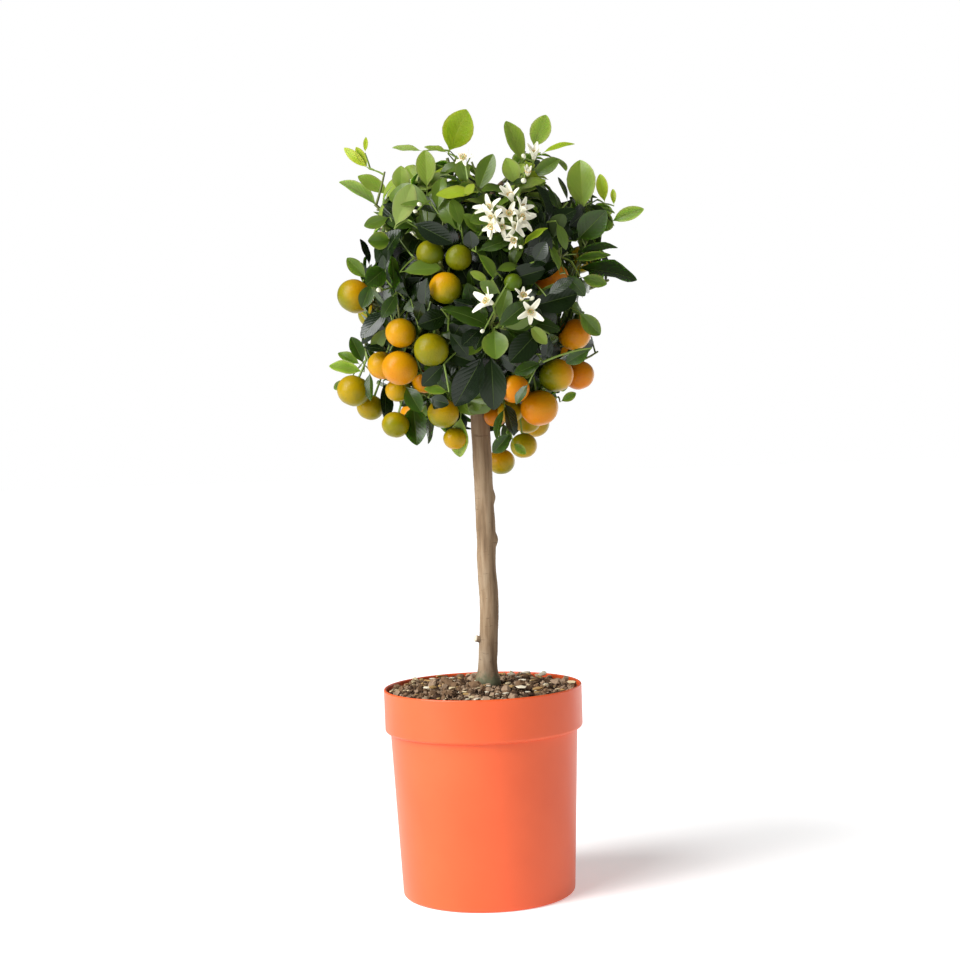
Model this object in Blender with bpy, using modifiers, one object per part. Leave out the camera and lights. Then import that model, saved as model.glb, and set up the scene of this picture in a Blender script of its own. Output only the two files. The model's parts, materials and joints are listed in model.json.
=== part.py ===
"""Calamondin orange tree in its nursery pot, as separate solids in metres.

The origin is the centre of the pot's underside, +Z is up and the front faces -Y. The crown is
shared out between masses of foliage: each keeps to the space that lies nearest to its own centre.
"""
import math
import random

import bmesh
import bpy
from mathutils import Matrix, Quaternion, Vector
from mathutils.bvhtree import BVHTree

# The pot
RIM_RADIUS = 0.0963
POT_HEIGHT = 0.2016
COLLAR_HEIGHT = 0.0415
COLLAR_DRAFT = 0.0001
COLLAR_STEP = 0.0052
BASE_RADIUS = 0.0838
POT_WALL = 0.0025
POT_FLOOR = 0.004
ROUNDING = 0.0025
POT_SIDES = 32

# The soil
SOIL_EDGE_DROP = 0.005
SOIL_CROWN_RADIUS = 0.024
GAP = 0.0003
SOIL_TOP = POT_HEIGHT - 0.0004

# The trunk, its centre line as height: sideways place
TRUNK_LINE = {
    0.2016: 0.0053, 0.211: 0.0053, 0.232: 0.0063, 0.255: 0.0080, 0.283: 0.0095, 0.307: 0.0083,
    0.325: 0.0075, 0.342: 0.0088, 0.383: 0.0076, 0.431: 0.0073, 0.473: 0.0058, 0.515: 0.0030,
    0.565: -0.0010, 0.610: -0.0040, 0.645: -0.0055,
}
TRUNK_RADIUS = 0.0092
TRUNK_TIP_RADIUS = 0.0034
FLARE_RADIUS = 0.0125
FLARE_HEIGHT = 0.016
FORK_HEIGHT = 0.475
TRUNK_SIDES_STEP = 4
STUB_HEIGHT = 0.245
STUB_LENGTH = 0.0135
STUB_RADIUS = 0.0036
KNOBS = {0.344: 0.0060, 0.386: 0.0056}

# The crown's outer limits
CROWN_MIDDLE = Vector((0.016, 0.0, 0.605))
CROWN_HALF_WIDTH = 0.148
CROWN_HALF_DEPTH = 0.152
CROWN_RISE = 0.150
CROWN_FALL = 0.192
CROWN_SQUARENESS = 2.6

# The centre of each mass of foliage
MASS_CENTRES = {
    "low_left": (-0.100, 0.005, 0.487),
    "low_front_left": (-0.042, -0.050, 0.467),
    "low_front_right": (0.038, -0.045, 0.455),
    "low_right": (0.095, -0.042, 0.513),
    "low_back_right": (0.060, 0.064, 0.479),
    "low_back_left": (-0.048, 0.068, 0.483),
    "front_left": (-0.066, -0.085, 0.533),
    "front": (0.022, -0.112, 0.553),
    "front_right": (0.075, -0.092, 0.603),
    "right": (0.118, 0.010, 0.588),
    "back_right": (0.070, 0.096, 0.567),
    "back_left": (-0.042, 0.100, 0.573),
    "left": (-0.106, -0.008, 0.582),
    "upper_front_left": (-0.024, -0.103, 0.604),
    "upper_front": (0.038, -0.080, 0.661),
    "upper_left": (-0.080, -0.018, 0.667),
    "upper_right": (0.114, -0.004, 0.662),
    "upper_back_right": (0.068, 0.078, 0.657),
    "upper_back_left": (-0.036, 0.078, 0.661),
    "top_left": (-0.018, -0.008, 0.711),
    "top_right": (0.056, 0.002, 0.717),
}
MASS_CENTRES = {name: Vector(centre) for name, centre in MASS_CENTRES.items()}
LEADER_MASS = "top_left"
CELL_MARGIN = 0.0006

# Limbs
BOUGH_FIRST = 0.006
BOUGH_SPACING = 0.0074
BOUGH_SHARE = 0.55
BOUGH_TIP_RADIUS = 0.0026
BOUGH_SIDES_STEP = 1
STEM_BACK = 0.034
STEM_RADIUS = 0.0025
STEM_TIP_RADIUS = 0.0017
STEM_REACH = 0.034
STEM_END_MARGIN = 0.006
STEM_END_LIMIT = 0.84
SHOOT_RADIUS = 0.0017
SHOOT_TIP_RADIUS = 0.0012
SHOOTS_PER_MASS = 5
SHOOT_LENGTH = (0.030, 0.056)
SHOOT_ANGLE = math.radians(68)
SHOOT_END_LIMIT = 0.90
SHOOT_CUTS = (1.0, 0.8, 0.62)
LIMB_CLEARANCE = 0.0010
GOLDEN_ANGLE = math.radians(137.5)

# Leaves
LEAVES_PER_MASS = 22
LEAF_LENGTH = (0.044, 0.058)
LEAF_WIDTH_SHARE = 0.53
LEAF_THICKNESS_SHARE = 0.028
LEAF_KEEL_PLACE = 0.22
LEAF_FOLD = 0.10
LEAF_DROOP = 0.07
LEAF_ANGLE = math.radians(52)
LEAF_SPACING = 0.0105
LEAF_SEAT = 0.0015
LEAF_SHRINK = 0.028
LEAF_SWAY = 0.40
LEAF_BARE_ROOT = 0.13
LEAF_LAY = 0.55
LEAF_TRIES = 16
ROUNDS_OF_LEAVES = 7
MERGE_DISTANCES = (0.0012, 0.0009, 0.0006, 0.0004, 0.0002)
MERGE_PASSES = 2

# Fruit and blossom
FRUIT_FLATNESS = 0.93
FRUIT_COLUMNS = 8
FRUIT_ROWS = 4
FRUITS = [
    (-0.110, -0.010, 0.583, 0.0174), (-0.064, -0.088, 0.542, 0.0143),
    (-0.066, -0.084, 0.510, 0.0168), (-0.036, -0.104, 0.525, 0.0160),
    (-0.034, -0.104, 0.612, 0.0128), (-0.008, -0.112, 0.607, 0.0122),
    (-0.021, -0.112, 0.580, 0.0150), (-0.084, -0.056, 0.514, 0.0138),
    (-0.114, -0.020, 0.492, 0.0160), (-0.100, 0.006, 0.476, 0.0134),
    (-0.074, -0.040, 0.458, 0.0132), (-0.028, -0.062, 0.467, 0.0148),
    (-0.018, -0.044, 0.443, 0.0112), (-0.071, -0.048, 0.490, 0.0112),
    (-0.045, -0.045, 0.498, 0.0120), (0.077, -0.084, 0.587, 0.0157),
    (0.098, -0.050, 0.537, 0.0156), (0.079, -0.062, 0.499, 0.0165),
    (0.102, -0.032, 0.499, 0.0146), (0.062, -0.066, 0.469, 0.0186),
    (0.039, -0.090, 0.487, 0.0138), (0.035, -0.048, 0.467, 0.0122),
    (0.052, -0.012, 0.458, 0.0134), (0.047, -0.036, 0.434, 0.0128),
    (0.026, 0.040, 0.418, 0.0136), (0.021, -0.018, 0.463, 0.0110),
    (0.040, -0.126, 0.582, 0.0081),
    (0.104, 0.060, 0.550, 0.0150), (0.060, 0.118, 0.580, 0.0160), (0.092, 0.098, 0.525, 0.0145),
    (0.062, 0.082, 0.455, 0.0150), (0.020, 0.086, 0.491, 0.0135), (-0.030, 0.112, 0.535, 0.0160),
    (-0.066, 0.118, 0.597, 0.0140), (-0.060, 0.094, 0.467, 0.0155), (-0.098, 0.068, 0.570, 0.0150),
    (-0.050, 0.072, 0.479, 0.0130), (0.112, 0.060, 0.617, 0.0145), (0.030, 0.110, 0.645, 0.0140),
]
BLOSSOMS = [
    (0.020, -0.112, 0.645, 0.0135), (0.035, -0.114, 0.633, 0.0090), (0.058, -0.104, 0.645, 0.0140),
    (0.039, -0.094, 0.669, 0.0100), (0.068, -0.030, 0.717, 0.0080), (0.055, -0.118, 0.555, 0.0135),
    (0.008, -0.124, 0.571, 0.0110), (0.052, 0.106, 0.673, 0.0125), (-0.062, 0.104, 0.645, 0.0120),
]
BLOSSOM_DEPTH_SHARE = 0.8
BLOSSOM_THROAT = 0.0016

# The shoots that lead the crown's outline: where the shoot ends and where its last leaf's tip is
LEADING_SHOOTS = [
    ((-0.014, -0.010, 0.719), (0.005, -0.010, 0.760)),
    ((0.066, -0.010, 0.719), (0.078, -0.012, 0.755)),
    ((0.050, -0.025, 0.705), (0.041, -0.026, 0.747)),
    ((-0.039, -0.030, 0.683), (-0.037, -0.032, 0.721)),
    ((-0.093, -0.015, 0.703), (-0.116, -0.016, 0.728)),
    ((-0.086, -0.018, 0.695), (-0.096, -0.014, 0.737)),
    ((-0.085, -0.010, 0.669), (-0.125, -0.008, 0.694)),
    ((-0.096, -0.018, 0.595), (-0.120, -0.018, 0.625)),
    ((-0.100, -0.016, 0.514), (-0.138, -0.020, 0.517)),
    ((-0.100, -0.012, 0.517), (-0.120, -0.018, 0.546)),
    ((0.130, -0.015, 0.647), (0.171, -0.015, 0.656)),
    ((0.128, -0.018, 0.660), (0.129, -0.020, 0.693)),
    ((0.103, -0.020, 0.617), (0.145, -0.020, 0.623)),
    ((0.124, -0.002, 0.593), (0.163, 0.000, 0.592)),
    ((0.101, -0.020, 0.561), (0.126, -0.022, 0.535)),
    ((-0.013, -0.050, 0.457), (-0.014, -0.050, 0.421)),
    ((-0.049, -0.058, 0.477), (-0.044, -0.060, 0.437)),
    ((0.022, -0.060, 0.445), (0.036, -0.062, 0.413)),
    ((0.004, -0.104, 0.537), (0.012, -0.108, 0.501)),
    ((0.034, -0.102, 0.533), (0.042, -0.104, 0.501)),
    ((-0.022, -0.076, 0.483), (-0.018, -0.080, 0.439)),
    ((0.022, -0.080, 0.489), (0.017, -0.083, 0.446)),
    ((0.060, 0.110, 0.605), (0.072, 0.148, 0.617)),
    ((-0.050, 0.108, 0.565), (-0.058, 0.146, 0.557)),
    ((-0.020, 0.050, 0.705), (-0.028, 0.070, 0.743)),
]
LEADING_WIDTH_SHARE = 0.46
LEADING_FACE = Vector((0.0, -0.75, 0.55))
LEADING_LEAF_SUNK = 0.0010

COLOURS = {
    "pot": ((0.84, 0.16, 0.035), 0.25),
    "soil": ((0.035, 0.022, 0.014), 0.9),
    "trunk": ((0.30, 0.22, 0.15), 0.85),
    "bough": ((0.20, 0.15, 0.10), 0.8),
    "mass": ((0.07, 0.16, 0.03), 0.45),
}


def clear_scene():
    """Start from an empty scene."""
    for thing in list(bpy.data.objects):
        bpy.data.objects.remove(thing, do_unlink=True)


def new_collection(name):
    """A collection that hangs under the scene's own."""
    group = bpy.data.collections.new(name)
    bpy.context.scene.collection.children.link(group)
    return group


def new_material(name, kind):
    """A Principled material in the colour and roughness of its kind."""
    colour, roughness = COLOURS[kind]
    material = bpy.data.materials.new(name)
    material.use_nodes = True
    shader = material.node_tree.nodes["Principled BSDF"]
    shader.inputs["Base Color"].default_value = (*colour, 1.0)
    shader.inputs["Roughness"].default_value = roughness
    shader.inputs["Metallic"].default_value = 0.0
    return material


def new_object(name, mesh, group, kind=None):
    """An object in its group, with a material of its own where it is given a kind."""
    thing = bpy.data.objects.new(name, mesh)
    group.objects.link(thing)
    if kind:
        mesh.materials.clear()
        mesh.materials.append(new_material(name + "_finish", kind))
    return thing


def finished_mesh(shape, name):
    """Turn an edit mesh into a mesh whose faces point out."""
    bmesh.ops.recalc_face_normals(shape, faces=shape.faces)
    mesh = bpy.data.meshes.new(name)
    shape.to_mesh(mesh)
    shape.free()
    return mesh


def evaluated_mesh(thing):
    """The mesh of an object with its modifiers applied."""
    depsgraph = bpy.context.evaluated_depsgraph_get()
    return bpy.data.meshes.new_from_object(thing.evaluated_get(depsgraph))


def round_smooth(mesh, degrees=40):
    """Shade a round piece smooth up to its sharp edges."""
    mesh.shade_smooth()
    mesh.set_sharp_from_angle(angle=math.radians(degrees))


def turned(name, outline, group, kind):
    """Turn an outline of radius and height points round the Z axis."""
    mesh = bpy.data.meshes.new(name)
    points = [(radius, 0.0, height) for radius, height in outline]
    edges = [(i, i + 1) for i in range(len(points) - 1)]
    mesh.from_pydata(points, edges, [])
    thing = new_object(name, mesh, group, kind)
    screw = thing.modifiers.new("turn", "SCREW")
    screw.steps = POT_SIDES
    screw.render_steps = POT_SIDES
    screw.use_merge_vertices = True
    screw.merge_threshold = 0.00001
    screw.use_smooth_shade = True
    return thing


def corner_arc(centre, radius, start, stop, steps):
    """Points of an arc in the outline's plane, angles in degrees from +X."""
    points = []
    for i in range(steps + 1):
        angle = math.radians(start + (stop - start) * i / steps)
        points.append((centre[0] + radius * math.cos(angle), centre[1] + radius * math.sin(angle)))
    return points


def wall_radius(height):
    """The pot's outer radius below its collar."""
    top = POT_HEIGHT - COLLAR_HEIGHT
    top_radius = RIM_RADIUS - COLLAR_DRAFT - COLLAR_STEP
    return BASE_RADIUS + (top_radius - BASE_RADIUS) * height / top


def pot_outline():
    """The pot's wall from the middle of its floor, up inside, over the rim and down outside."""
    collar_foot = POT_HEIGHT - COLLAR_HEIGHT
    collar_radius = RIM_RADIUS - COLLAR_DRAFT
    lip = POT_WALL / 2
    outline = [(0.0, POT_FLOOR), (wall_radius(POT_FLOOR) - POT_WALL, POT_FLOOR)]
    outline.append((wall_radius(collar_foot) - POT_WALL, collar_foot + POT_WALL))
    outline.append((collar_radius - POT_WALL, collar_foot + 2 * POT_WALL))
    outline.append((RIM_RADIUS - 2 * lip, POT_HEIGHT - lip))
    outline += corner_arc((RIM_RADIUS - lip, POT_HEIGHT - lip), lip, 120, 0, 3)
    outline += corner_arc((collar_radius - lip, collar_foot + lip), lip, 0, -90, 2)
    outline.append((wall_radius(collar_foot), collar_foot))
    outline += corner_arc((wall_radius(ROUNDING) - ROUNDING, ROUNDING), ROUNDING, 0, -90, 3)
    outline.append((0.0, 0.0))
    return outline


def build_pot(group):
    """The tapered pot with its tall collar, a rounded foot and a flat underside."""
    turned("pot", pot_outline(), group, "pot")


def build_soil(group):
    """The soil fills the pot and rises to a low mound round the trunk."""
    collar_foot = POT_HEIGHT - COLLAR_HEIGHT
    edge = POT_HEIGHT - SOIL_EDGE_DROP
    floor = POT_FLOOR + GAP
    inset = POT_WALL + GAP
    step_radius = wall_radius(collar_foot) - inset
    edge_radius = RIM_RADIUS - COLLAR_DRAFT - inset
    outline = [(0.0, SOIL_TOP), (SOIL_CROWN_RADIUS, SOIL_TOP)]
    outline.append((0.6 * edge_radius, SOIL_TOP - 0.6 * (SOIL_TOP - edge)))
    outline.append((edge_radius, edge))
    outline.append((edge_radius, collar_foot + 2 * POT_WALL + GAP))
    outline.append((step_radius, collar_foot + POT_WALL))
    outline.append((wall_radius(floor) - inset, floor))
    outline.append((0.0, floor))
    turned("soil", outline, group, "soil")


def trunk_point(height):
    """The trunk's centre line at a height."""
    heights = sorted(TRUNK_LINE)
    for low, high in zip(heights, heights[1:]):
        if height <= high:
            share = (height - low) / (high - low)
            return Vector((TRUNK_LINE[low] + share * (TRUNK_LINE[high] - TRUNK_LINE[low]), 0.0, height))
    return Vector((TRUNK_LINE[heights[-1]], 0.0, height))


def trunk_radius(height):
    """Nearly even up to the fork with a flare at the soil, then a steady taper to the tip."""
    foot = (height - POT_HEIGHT) / FLARE_HEIGHT
    flare = (FLARE_RADIUS - TRUNK_RADIUS) * math.exp(-2.2 * foot * foot)
    past_fork = max(0.0, height - FORK_HEIGHT) / (max(TRUNK_LINE) - FORK_HEIGHT)
    return TRUNK_RADIUS + flare - (TRUNK_RADIUS - TRUNK_TIP_RADIUS) * past_fork


def tube_curve(name, path, radii, sides_step):
    """A filled tube along the path as a closed mesh, its caps welded on."""
    curve = bpy.data.curves.new(name, "CURVE")
    curve.dimensions = "3D"
    curve.bevel_depth = 1.0
    curve.bevel_resolution = sides_step
    curve.use_fill_caps = True
    line = curve.splines.new("POLY")
    line.points.add(len(path) - 1)
    for spot, place, radius in zip(line.points, path, radii):
        spot.co = (*place, 1.0)
        spot.radius = radius
    holder = bpy.data.objects.new(name, curve)
    bpy.context.scene.collection.objects.link(holder)
    mesh = evaluated_mesh(holder)
    bpy.data.objects.remove(holder, do_unlink=True)
    bpy.data.curves.remove(curve)
    shape = bmesh.new()
    shape.from_mesh(mesh)
    bpy.data.meshes.remove(mesh)
    bmesh.ops.remove_doubles(shape, verts=shape.verts, dist=0.00001)
    return finished_mesh(shape, name)


def trunk_rings(lowest):
    """The heights of the trunk's rings: close at the flare, then at each named height."""
    close = [lowest + FLARE_HEIGHT * share for share in (0.0, 0.25, 0.55, 1.0)]
    return close + [height for height in sorted(TRUNK_LINE) if height > close[-1] + 0.004]


def joined(base, pieces, name):
    """One closed mesh from a piece and the pieces fused to it; loose scraps are dropped."""
    group = new_collection(name + "_pieces")
    for piece in pieces:
        group.objects.link(piece)
    union = base.modifiers.new("union", "BOOLEAN")
    union.operation = "UNION"
    union.operand_type = "COLLECTION"
    union.solver = "EXACT"
    union.collection = group
    mesh = evaluated_mesh(base)
    for piece in [*pieces, base]:
        bpy.data.objects.remove(piece, do_unlink=True)
    bpy.data.collections.remove(group)
    shape = bmesh.new()
    shape.from_mesh(mesh)
    bpy.data.meshes.remove(mesh)
    bmesh.ops.remove_doubles(shape, verts=shape.verts, dist=0.0000005)
    keep_largest_body(shape)
    shape = simplified(shape)
    result = bpy.data.meshes.new(name)
    shape.to_mesh(result)
    shape.free()
    return result


def is_sound(shape):
    """True for a closed body with no sliver left folded on itself."""
    if any(len(edge.link_faces) != 2 for edge in shape.edges):
        return False
    if any(face.calc_area() < 1e-10 for face in shape.faces):
        return False
    shape.faces.ensure_lookup_table()
    shape.faces.index_update()
    space = BVHTree.FromBMesh(shape)
    for a, b in space.overlap(space):
        if a < b and not set(shape.faces[a].verts) & set(shape.faces[b].verts):
            return False
    return True


def merge_short_edges(shape, distance):
    """Merge the ends of each short edge where the body stays closed."""
    for _ in range(MERGE_PASSES):
        short = [edge for edge in shape.edges if edge.calc_length() < distance]
        for edge in sorted(short, key=lambda item: item.calc_length()):
            if not edge.is_valid or edge.calc_length() >= distance:
                continue
            first, second = edge.verts
            near_first = {other.other_vert(first) for other in first.link_edges}
            near_second = {other.other_vert(second) for other in second.link_edges}
            if len(near_first & near_second) == 2:
                middle = (first.co + second.co) / 2
                bmesh.ops.pointmerge(shape, verts=[first, second], merge_co=middle)


def simplified(shape):
    """The same body with the crowded corners of its joints merged, as far as it stays sound."""
    bmesh.ops.triangulate(shape, faces=shape.faces)
    for distance in MERGE_DISTANCES:
        trial = shape.copy()
        merge_short_edges(trial, distance)
        if is_sound(trial):
            shape.free()
            return trial
        trial.free()
    return shape


def keep_largest_body(shape):
    """Delete all that isn't connected to the body with the most faces."""
    left = set(shape.faces)
    bodies = []
    while left:
        body = []
        waiting = [left.pop()]
        while waiting:
            face = waiting.pop()
            body.append(face)
            for edge in face.edges:
                for neighbour in edge.link_faces:
                    if neighbour in left:
                        left.remove(neighbour)
                        waiting.append(neighbour)
        bodies.append(body)
    bodies.sort(key=len, reverse=True)
    scraps = [face for body in bodies[1:] for face in body]
    bmesh.ops.delete(shape, geom=scraps, context="FACES")


def build_trunk(group):
    """The trunk from its flat cut on the soil to its tip, with a pruned stub and two knobs."""
    rings = trunk_rings(POT_HEIGHT)
    path = [trunk_point(height) for height in rings]
    mesh = tube_curve("trunk", path, [trunk_radius(height) for height in rings], TRUNK_SIDES_STEP)
    base = new_object("trunk", mesh, bpy.context.scene.collection)
    root = trunk_point(STUB_HEIGHT)
    tip = root + Vector((-STUB_LENGTH, -0.0035, 0.0030))
    widths = [STUB_RADIUS * 1.2, STUB_RADIUS, STUB_RADIUS * 0.8]
    stub = tube_curve("stub", [root, root.lerp(tip, 0.6), tip], widths, 1)
    pieces = [bpy.data.objects.new("stub", stub)]
    for height, radius in KNOBS.items():
        knob = bmesh.new()
        place = trunk_point(height) + Vector((TRUNK_RADIUS - 0.45 * radius, -0.002, 0.0))
        bmesh.ops.create_uvsphere(
            knob, u_segments=8, v_segments=5, radius=radius, matrix=Matrix.Translation(place))
        pieces.append(bpy.data.objects.new("knob", finished_mesh(knob, "knob")))
    trunk = new_object("trunk", joined(base, pieces, "trunk"), group, "trunk")
    round_smooth(trunk.data)


def inside_cell(name, point, margin):
    """True where a point is nearer to this mass's centre than to any other, by a margin."""
    home = MASS_CENTRES[name]
    for other, centre in MASS_CENTRES.items():
        if other == name:
            continue
        apart = (centre - home).normalized()
        if (point - (centre + home) / 2).dot(apart) > -margin:
            return False
    return True


def crown_share(point):
    """How far out a point lies in the crown: 0 at its middle and 1 at its outer limit."""
    offset = point - CROWN_MIDDLE
    across = math.hypot(offset.x / CROWN_HALF_WIDTH, offset.y / CROWN_HALF_DEPTH)
    if offset.z > 0:
        power = CROWN_SQUARENESS
        upright = offset.z / CROWN_RISE
    else:
        power = 2.0
        upright = -offset.z / CROWN_FALL
    return (across ** power + upright ** power) ** (1 / power)


def bough_root(name):
    """Where on the trunk's centre line a mass's bough leaves it: higher for a higher mass."""
    climbing = sorted(MASS_CENTRES, key=lambda other: MASS_CENTRES[other].z)
    return trunk_point(FORK_HEIGHT + BOUGH_FIRST + climbing.index(name) * BOUGH_SPACING)


def arc_path(start, bend, stop, steps):
    """Points along a curve that leaves start towards bend and then turns to stop."""
    path = []
    for i in range(steps + 1):
        share = i / steps
        path.append(start.lerp(bend, share).lerp(bend.lerp(stop, share), share))
    return path


def bough_path(name):
    """A bough's line from the trunk to the start of its mass's stem."""
    root = bough_root(name)
    centre = MASS_CENTRES[name]
    way = centre - root
    stop = centre - way.normalized() * STEM_BACK
    bend = root.lerp(stop, 0.5) + Vector((0.0, 0.0, 0.12 * way.length))
    return arc_path(root, bend, stop, 4)


def stem_path(name):
    """A stem's line, from just past its bough's tip out through the mass's centre."""
    if name == LEADER_MASS:
        tip = trunk_point(max(TRUNK_LINE))
        heading = (tip - trunk_point(max(TRUNK_LINE) - 0.01)).normalized()
    else:
        limb = bough_path(name)
        tip = limb[-1]
        heading = (limb[-1] - limb[-2]).normalized()
    start = tip + heading * GAP
    centre = MASS_CENTRES[name]
    outward = (centre - start).normalized()
    reach = STEM_REACH
    while reach > 0.004 and not sound_place(name, centre + outward * reach):
        reach -= 0.003
    stop = centre + outward * reach
    return arc_path(start, start + heading * (stop - start).length * 0.5, stop, 4)


def sound_place(name, point):
    """True where a point is well inside its mass's space and the crown."""
    return inside_cell(name, point, STEM_END_MARGIN) and crown_share(point) < STEM_END_LIMIT


def tapered(count, first, last):
    """Radii that go evenly from the first to the last."""
    return [first + (last - first) * i / (count - 1) for i in range(count)]


def twig_shape(path, radii, sides=3):
    """An edit mesh of a tapering twig: a polygon extruded from point to point."""
    shape = bmesh.new()
    heading = (path[1] - path[0]).normalized()
    turn = heading.to_track_quat("Z", "Y").to_matrix().to_4x4()
    place = Matrix.Translation(path[0]) @ turn
    bmesh.ops.create_circle(shape, cap_ends=True, segments=sides, radius=radii[0], matrix=place)
    end = shape.faces[:][0]
    last = len(path) - 1
    for i in range(1, last + 1):
        onward = (path[min(i + 1, last)] - path[i - 1]).normalized()
        swing = heading.rotation_difference(onward)
        heading = onward
        inner = end
        grown = bmesh.ops.extrude_face_region(shape, geom=[end])["geom"]
        end = next(item for item in grown if isinstance(item, bmesh.types.BMFace))
        if i > 1:
            bmesh.ops.delete(shape, geom=[inner], context="FACES_ONLY")
        for vert in end.verts:
            corner = swing @ (vert.co - path[i - 1])
            vert.co = path[i] + corner * (radii[i] / radii[i - 1])
    return shape


def space_of(shape):
    """The space that an edit mesh takes, for testing what touches it."""
    space = BVHTree.FromBMesh(shape)
    shape.free()
    return space


def leaf_template():
    """A leaf blade of unit length and width on +X with a keel below: a globe reshaped."""
    shape = bmesh.new()
    quarter = Matrix.Rotation(math.radians(90), 4, "Z")
    bmesh.ops.create_uvsphere(shape, u_segments=6, v_segments=2, radius=1.0, matrix=quarter)
    side = math.sin(math.radians(60))
    for vert in shape.verts:
        x, y, z = vert.co
        if z < -0.5:
            vert.co = (LEAF_KEEL_PLACE, 0.0, -1.0)
        elif z < 0.5:
            vert.co = (max(0.0, 0.5 + 0.36 * x + 0.14 * x ** 3), 0.5 * y / side, 0.0)
        else:
            top = vert
    bmesh.ops.dissolve_verts(shape, verts=[top])
    for far_half in (False, True):
        pair = [vert for vert in shape.verts if abs(vert.co.y) > 0.4 and (vert.co.x > 0.5) == far_half]
        bmesh.ops.connect_vert_pair(shape, verts=pair)
    shape.verts.index_update()
    points = [vert.co.copy() for vert in shape.verts]
    faces = [[vert.index for vert in face.verts] for face in shape.faces]
    shape.free()
    return points, faces


def leaf_points(leaf, bare_root=0.0):
    """Where a leaf's corners are; bare_root leaves out that share of its length at the root."""
    side = leaf["face"].cross(leaf["heading"])
    points = []
    for corner in LEAF_POINTS:
        along = bare_root + (1 - bare_root) * corner.x
        across = corner.y * leaf["width"]
        lift = LEAF_FOLD * abs(across) - LEAF_DROOP * leaf["length"] * along ** 2
        lift += corner.z * leaf["length"] * LEAF_THICKNESS_SHARE
        points.append(leaf["root"] + leaf["heading"] * (along * leaf["length"])
                      + side * across + leaf["face"] * lift)
    return points


def squared(face, heading):
    """The direction nearest to face that stands square to heading."""
    square = face - heading * face.dot(heading)
    if square.length < 0.05:
        square = heading.orthogonal()
    return square.normalized()


class Mass:
    """One mass of foliage: its pieces and the space that each of them takes."""

    def __init__(self, name, limbs):
        self.name = name
        self.limbs = limbs
        self.draw = random.Random("calamondin " + name)
        self.twigs = []
        self.leaves = []
        self.fruits = []
        self.blossoms = []
        self.taken = []

    def is_free(self, space, of_limbs_only=False):
        """True where a space touches no limb and none of the mass's own pieces."""
        others = self.limbs if of_limbs_only else self.limbs + self.taken
        return not any(space.overlap(other) for other in others)

    def holds(self, points, leading=False):
        """True where every point is in the mass's own space and the crown."""
        for point in points:
            if not inside_cell(self.name, point, CELL_MARGIN):
                return False
            if not leading and crown_share(point) > 1.0:
                return False
        return True

    def add_twig(self, path, first, last, leading=False, to_fruit=False):
        """Add a twig where it fits and say whether it did."""
        radii = tapered(len(path), first, last)
        root, end = path
        bare = [root.lerp(end, 0.25), root.lerp(end, 0.6 if to_fruit else 1.0)]
        space = space_of(twig_shape(bare, radii))
        reach = [end + Vector((0.0, 0.0, first)), end - Vector((0.0, 0.0, first))]
        if not self.holds(reach, leading) or not self.is_free(space):
            return False
        self.twigs.append((path, radii))
        self.taken.append(space)
        return True

    def add_leaf(self, root, heading, face, length, width, leading=False):
        """Add a leaf where it fits and say whether it did."""
        leaf = {"root": root, "heading": heading.normalized(), "length": length, "width": width}
        leaf["face"] = squared(face, leaf["heading"])
        if not self.holds(leaf_points(leaf), leading):
            return False
        space = BVHTree.FromPolygons(leaf_points(leaf, bare_root=LEAF_BARE_ROOT), LEAF_FACES)
        if not self.is_free(space):
            return False
        self.leaves.append(leaf)
        self.taken.append(space)
        return True


def nearest_roots(path, target):
    """Points along a stem's line, those nearest to the target first."""
    points = []
    for start, stop in zip(path, path[1:]):
        points += [start.lerp(stop, share) for share in (0.3, 0.8)]
    return sorted(points, key=lambda point: (point - target).length)


def moved_inside(name, centre, radius):
    """The nearest place where a round thing fits its mass's space."""
    home = MASS_CENTRES[name]
    for _ in range(8):
        for other, neighbour in MASS_CENTRES.items():
            if other == name:
                continue
            apart = (neighbour - home).normalized()
            excess = (centre - (neighbour + home) / 2).dot(apart) + radius + CELL_MARGIN
            if excess > 0:
                centre = centre - apart * excess
    return centre


def home_of(point):
    """The mass whose centre is nearest to a point."""
    return min(MASS_CENTRES, key=lambda name: (MASS_CENTRES[name] - point).length)


def hang_fruits(mass, stem):
    """Hang the mass's fruits on stalks from its stem."""
    stalks = []
    for x, y, z, radius in FRUITS:
        centre = Vector((x, y, z))
        if home_of(centre) != mass.name:
            continue
        centre = moved_inside(mass.name, centre, radius)
        for other, other_radius in mass.fruits:
            radius = min(radius, (centre - other).length - other_radius - 0.0006)
        ball = bmesh.new()
        bmesh.ops.create_uvsphere(
            ball, u_segments=FRUIT_COLUMNS, v_segments=FRUIT_ROWS, radius=radius,
            matrix=Matrix.Translation(centre))
        space = space_of(ball)
        if not mass.is_free(space, of_limbs_only=True):
            continue
        for root in nearest_roots(stem, centre):
            stalk = [root, centre + (root - centre).normalized() * 0.55 * radius]
            if mass.add_twig(stalk, SHOOT_RADIUS, SHOOT_TIP_RADIUS, leading=True, to_fruit=True):
                mass.fruits.append((centre, radius))
                mass.taken.append(space)
                shown = [root, centre + (root - centre).normalized() * (radius + 0.004)]
                stalks.append({"path": shown, "leaves": 2})
                break
    return stalks


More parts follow.
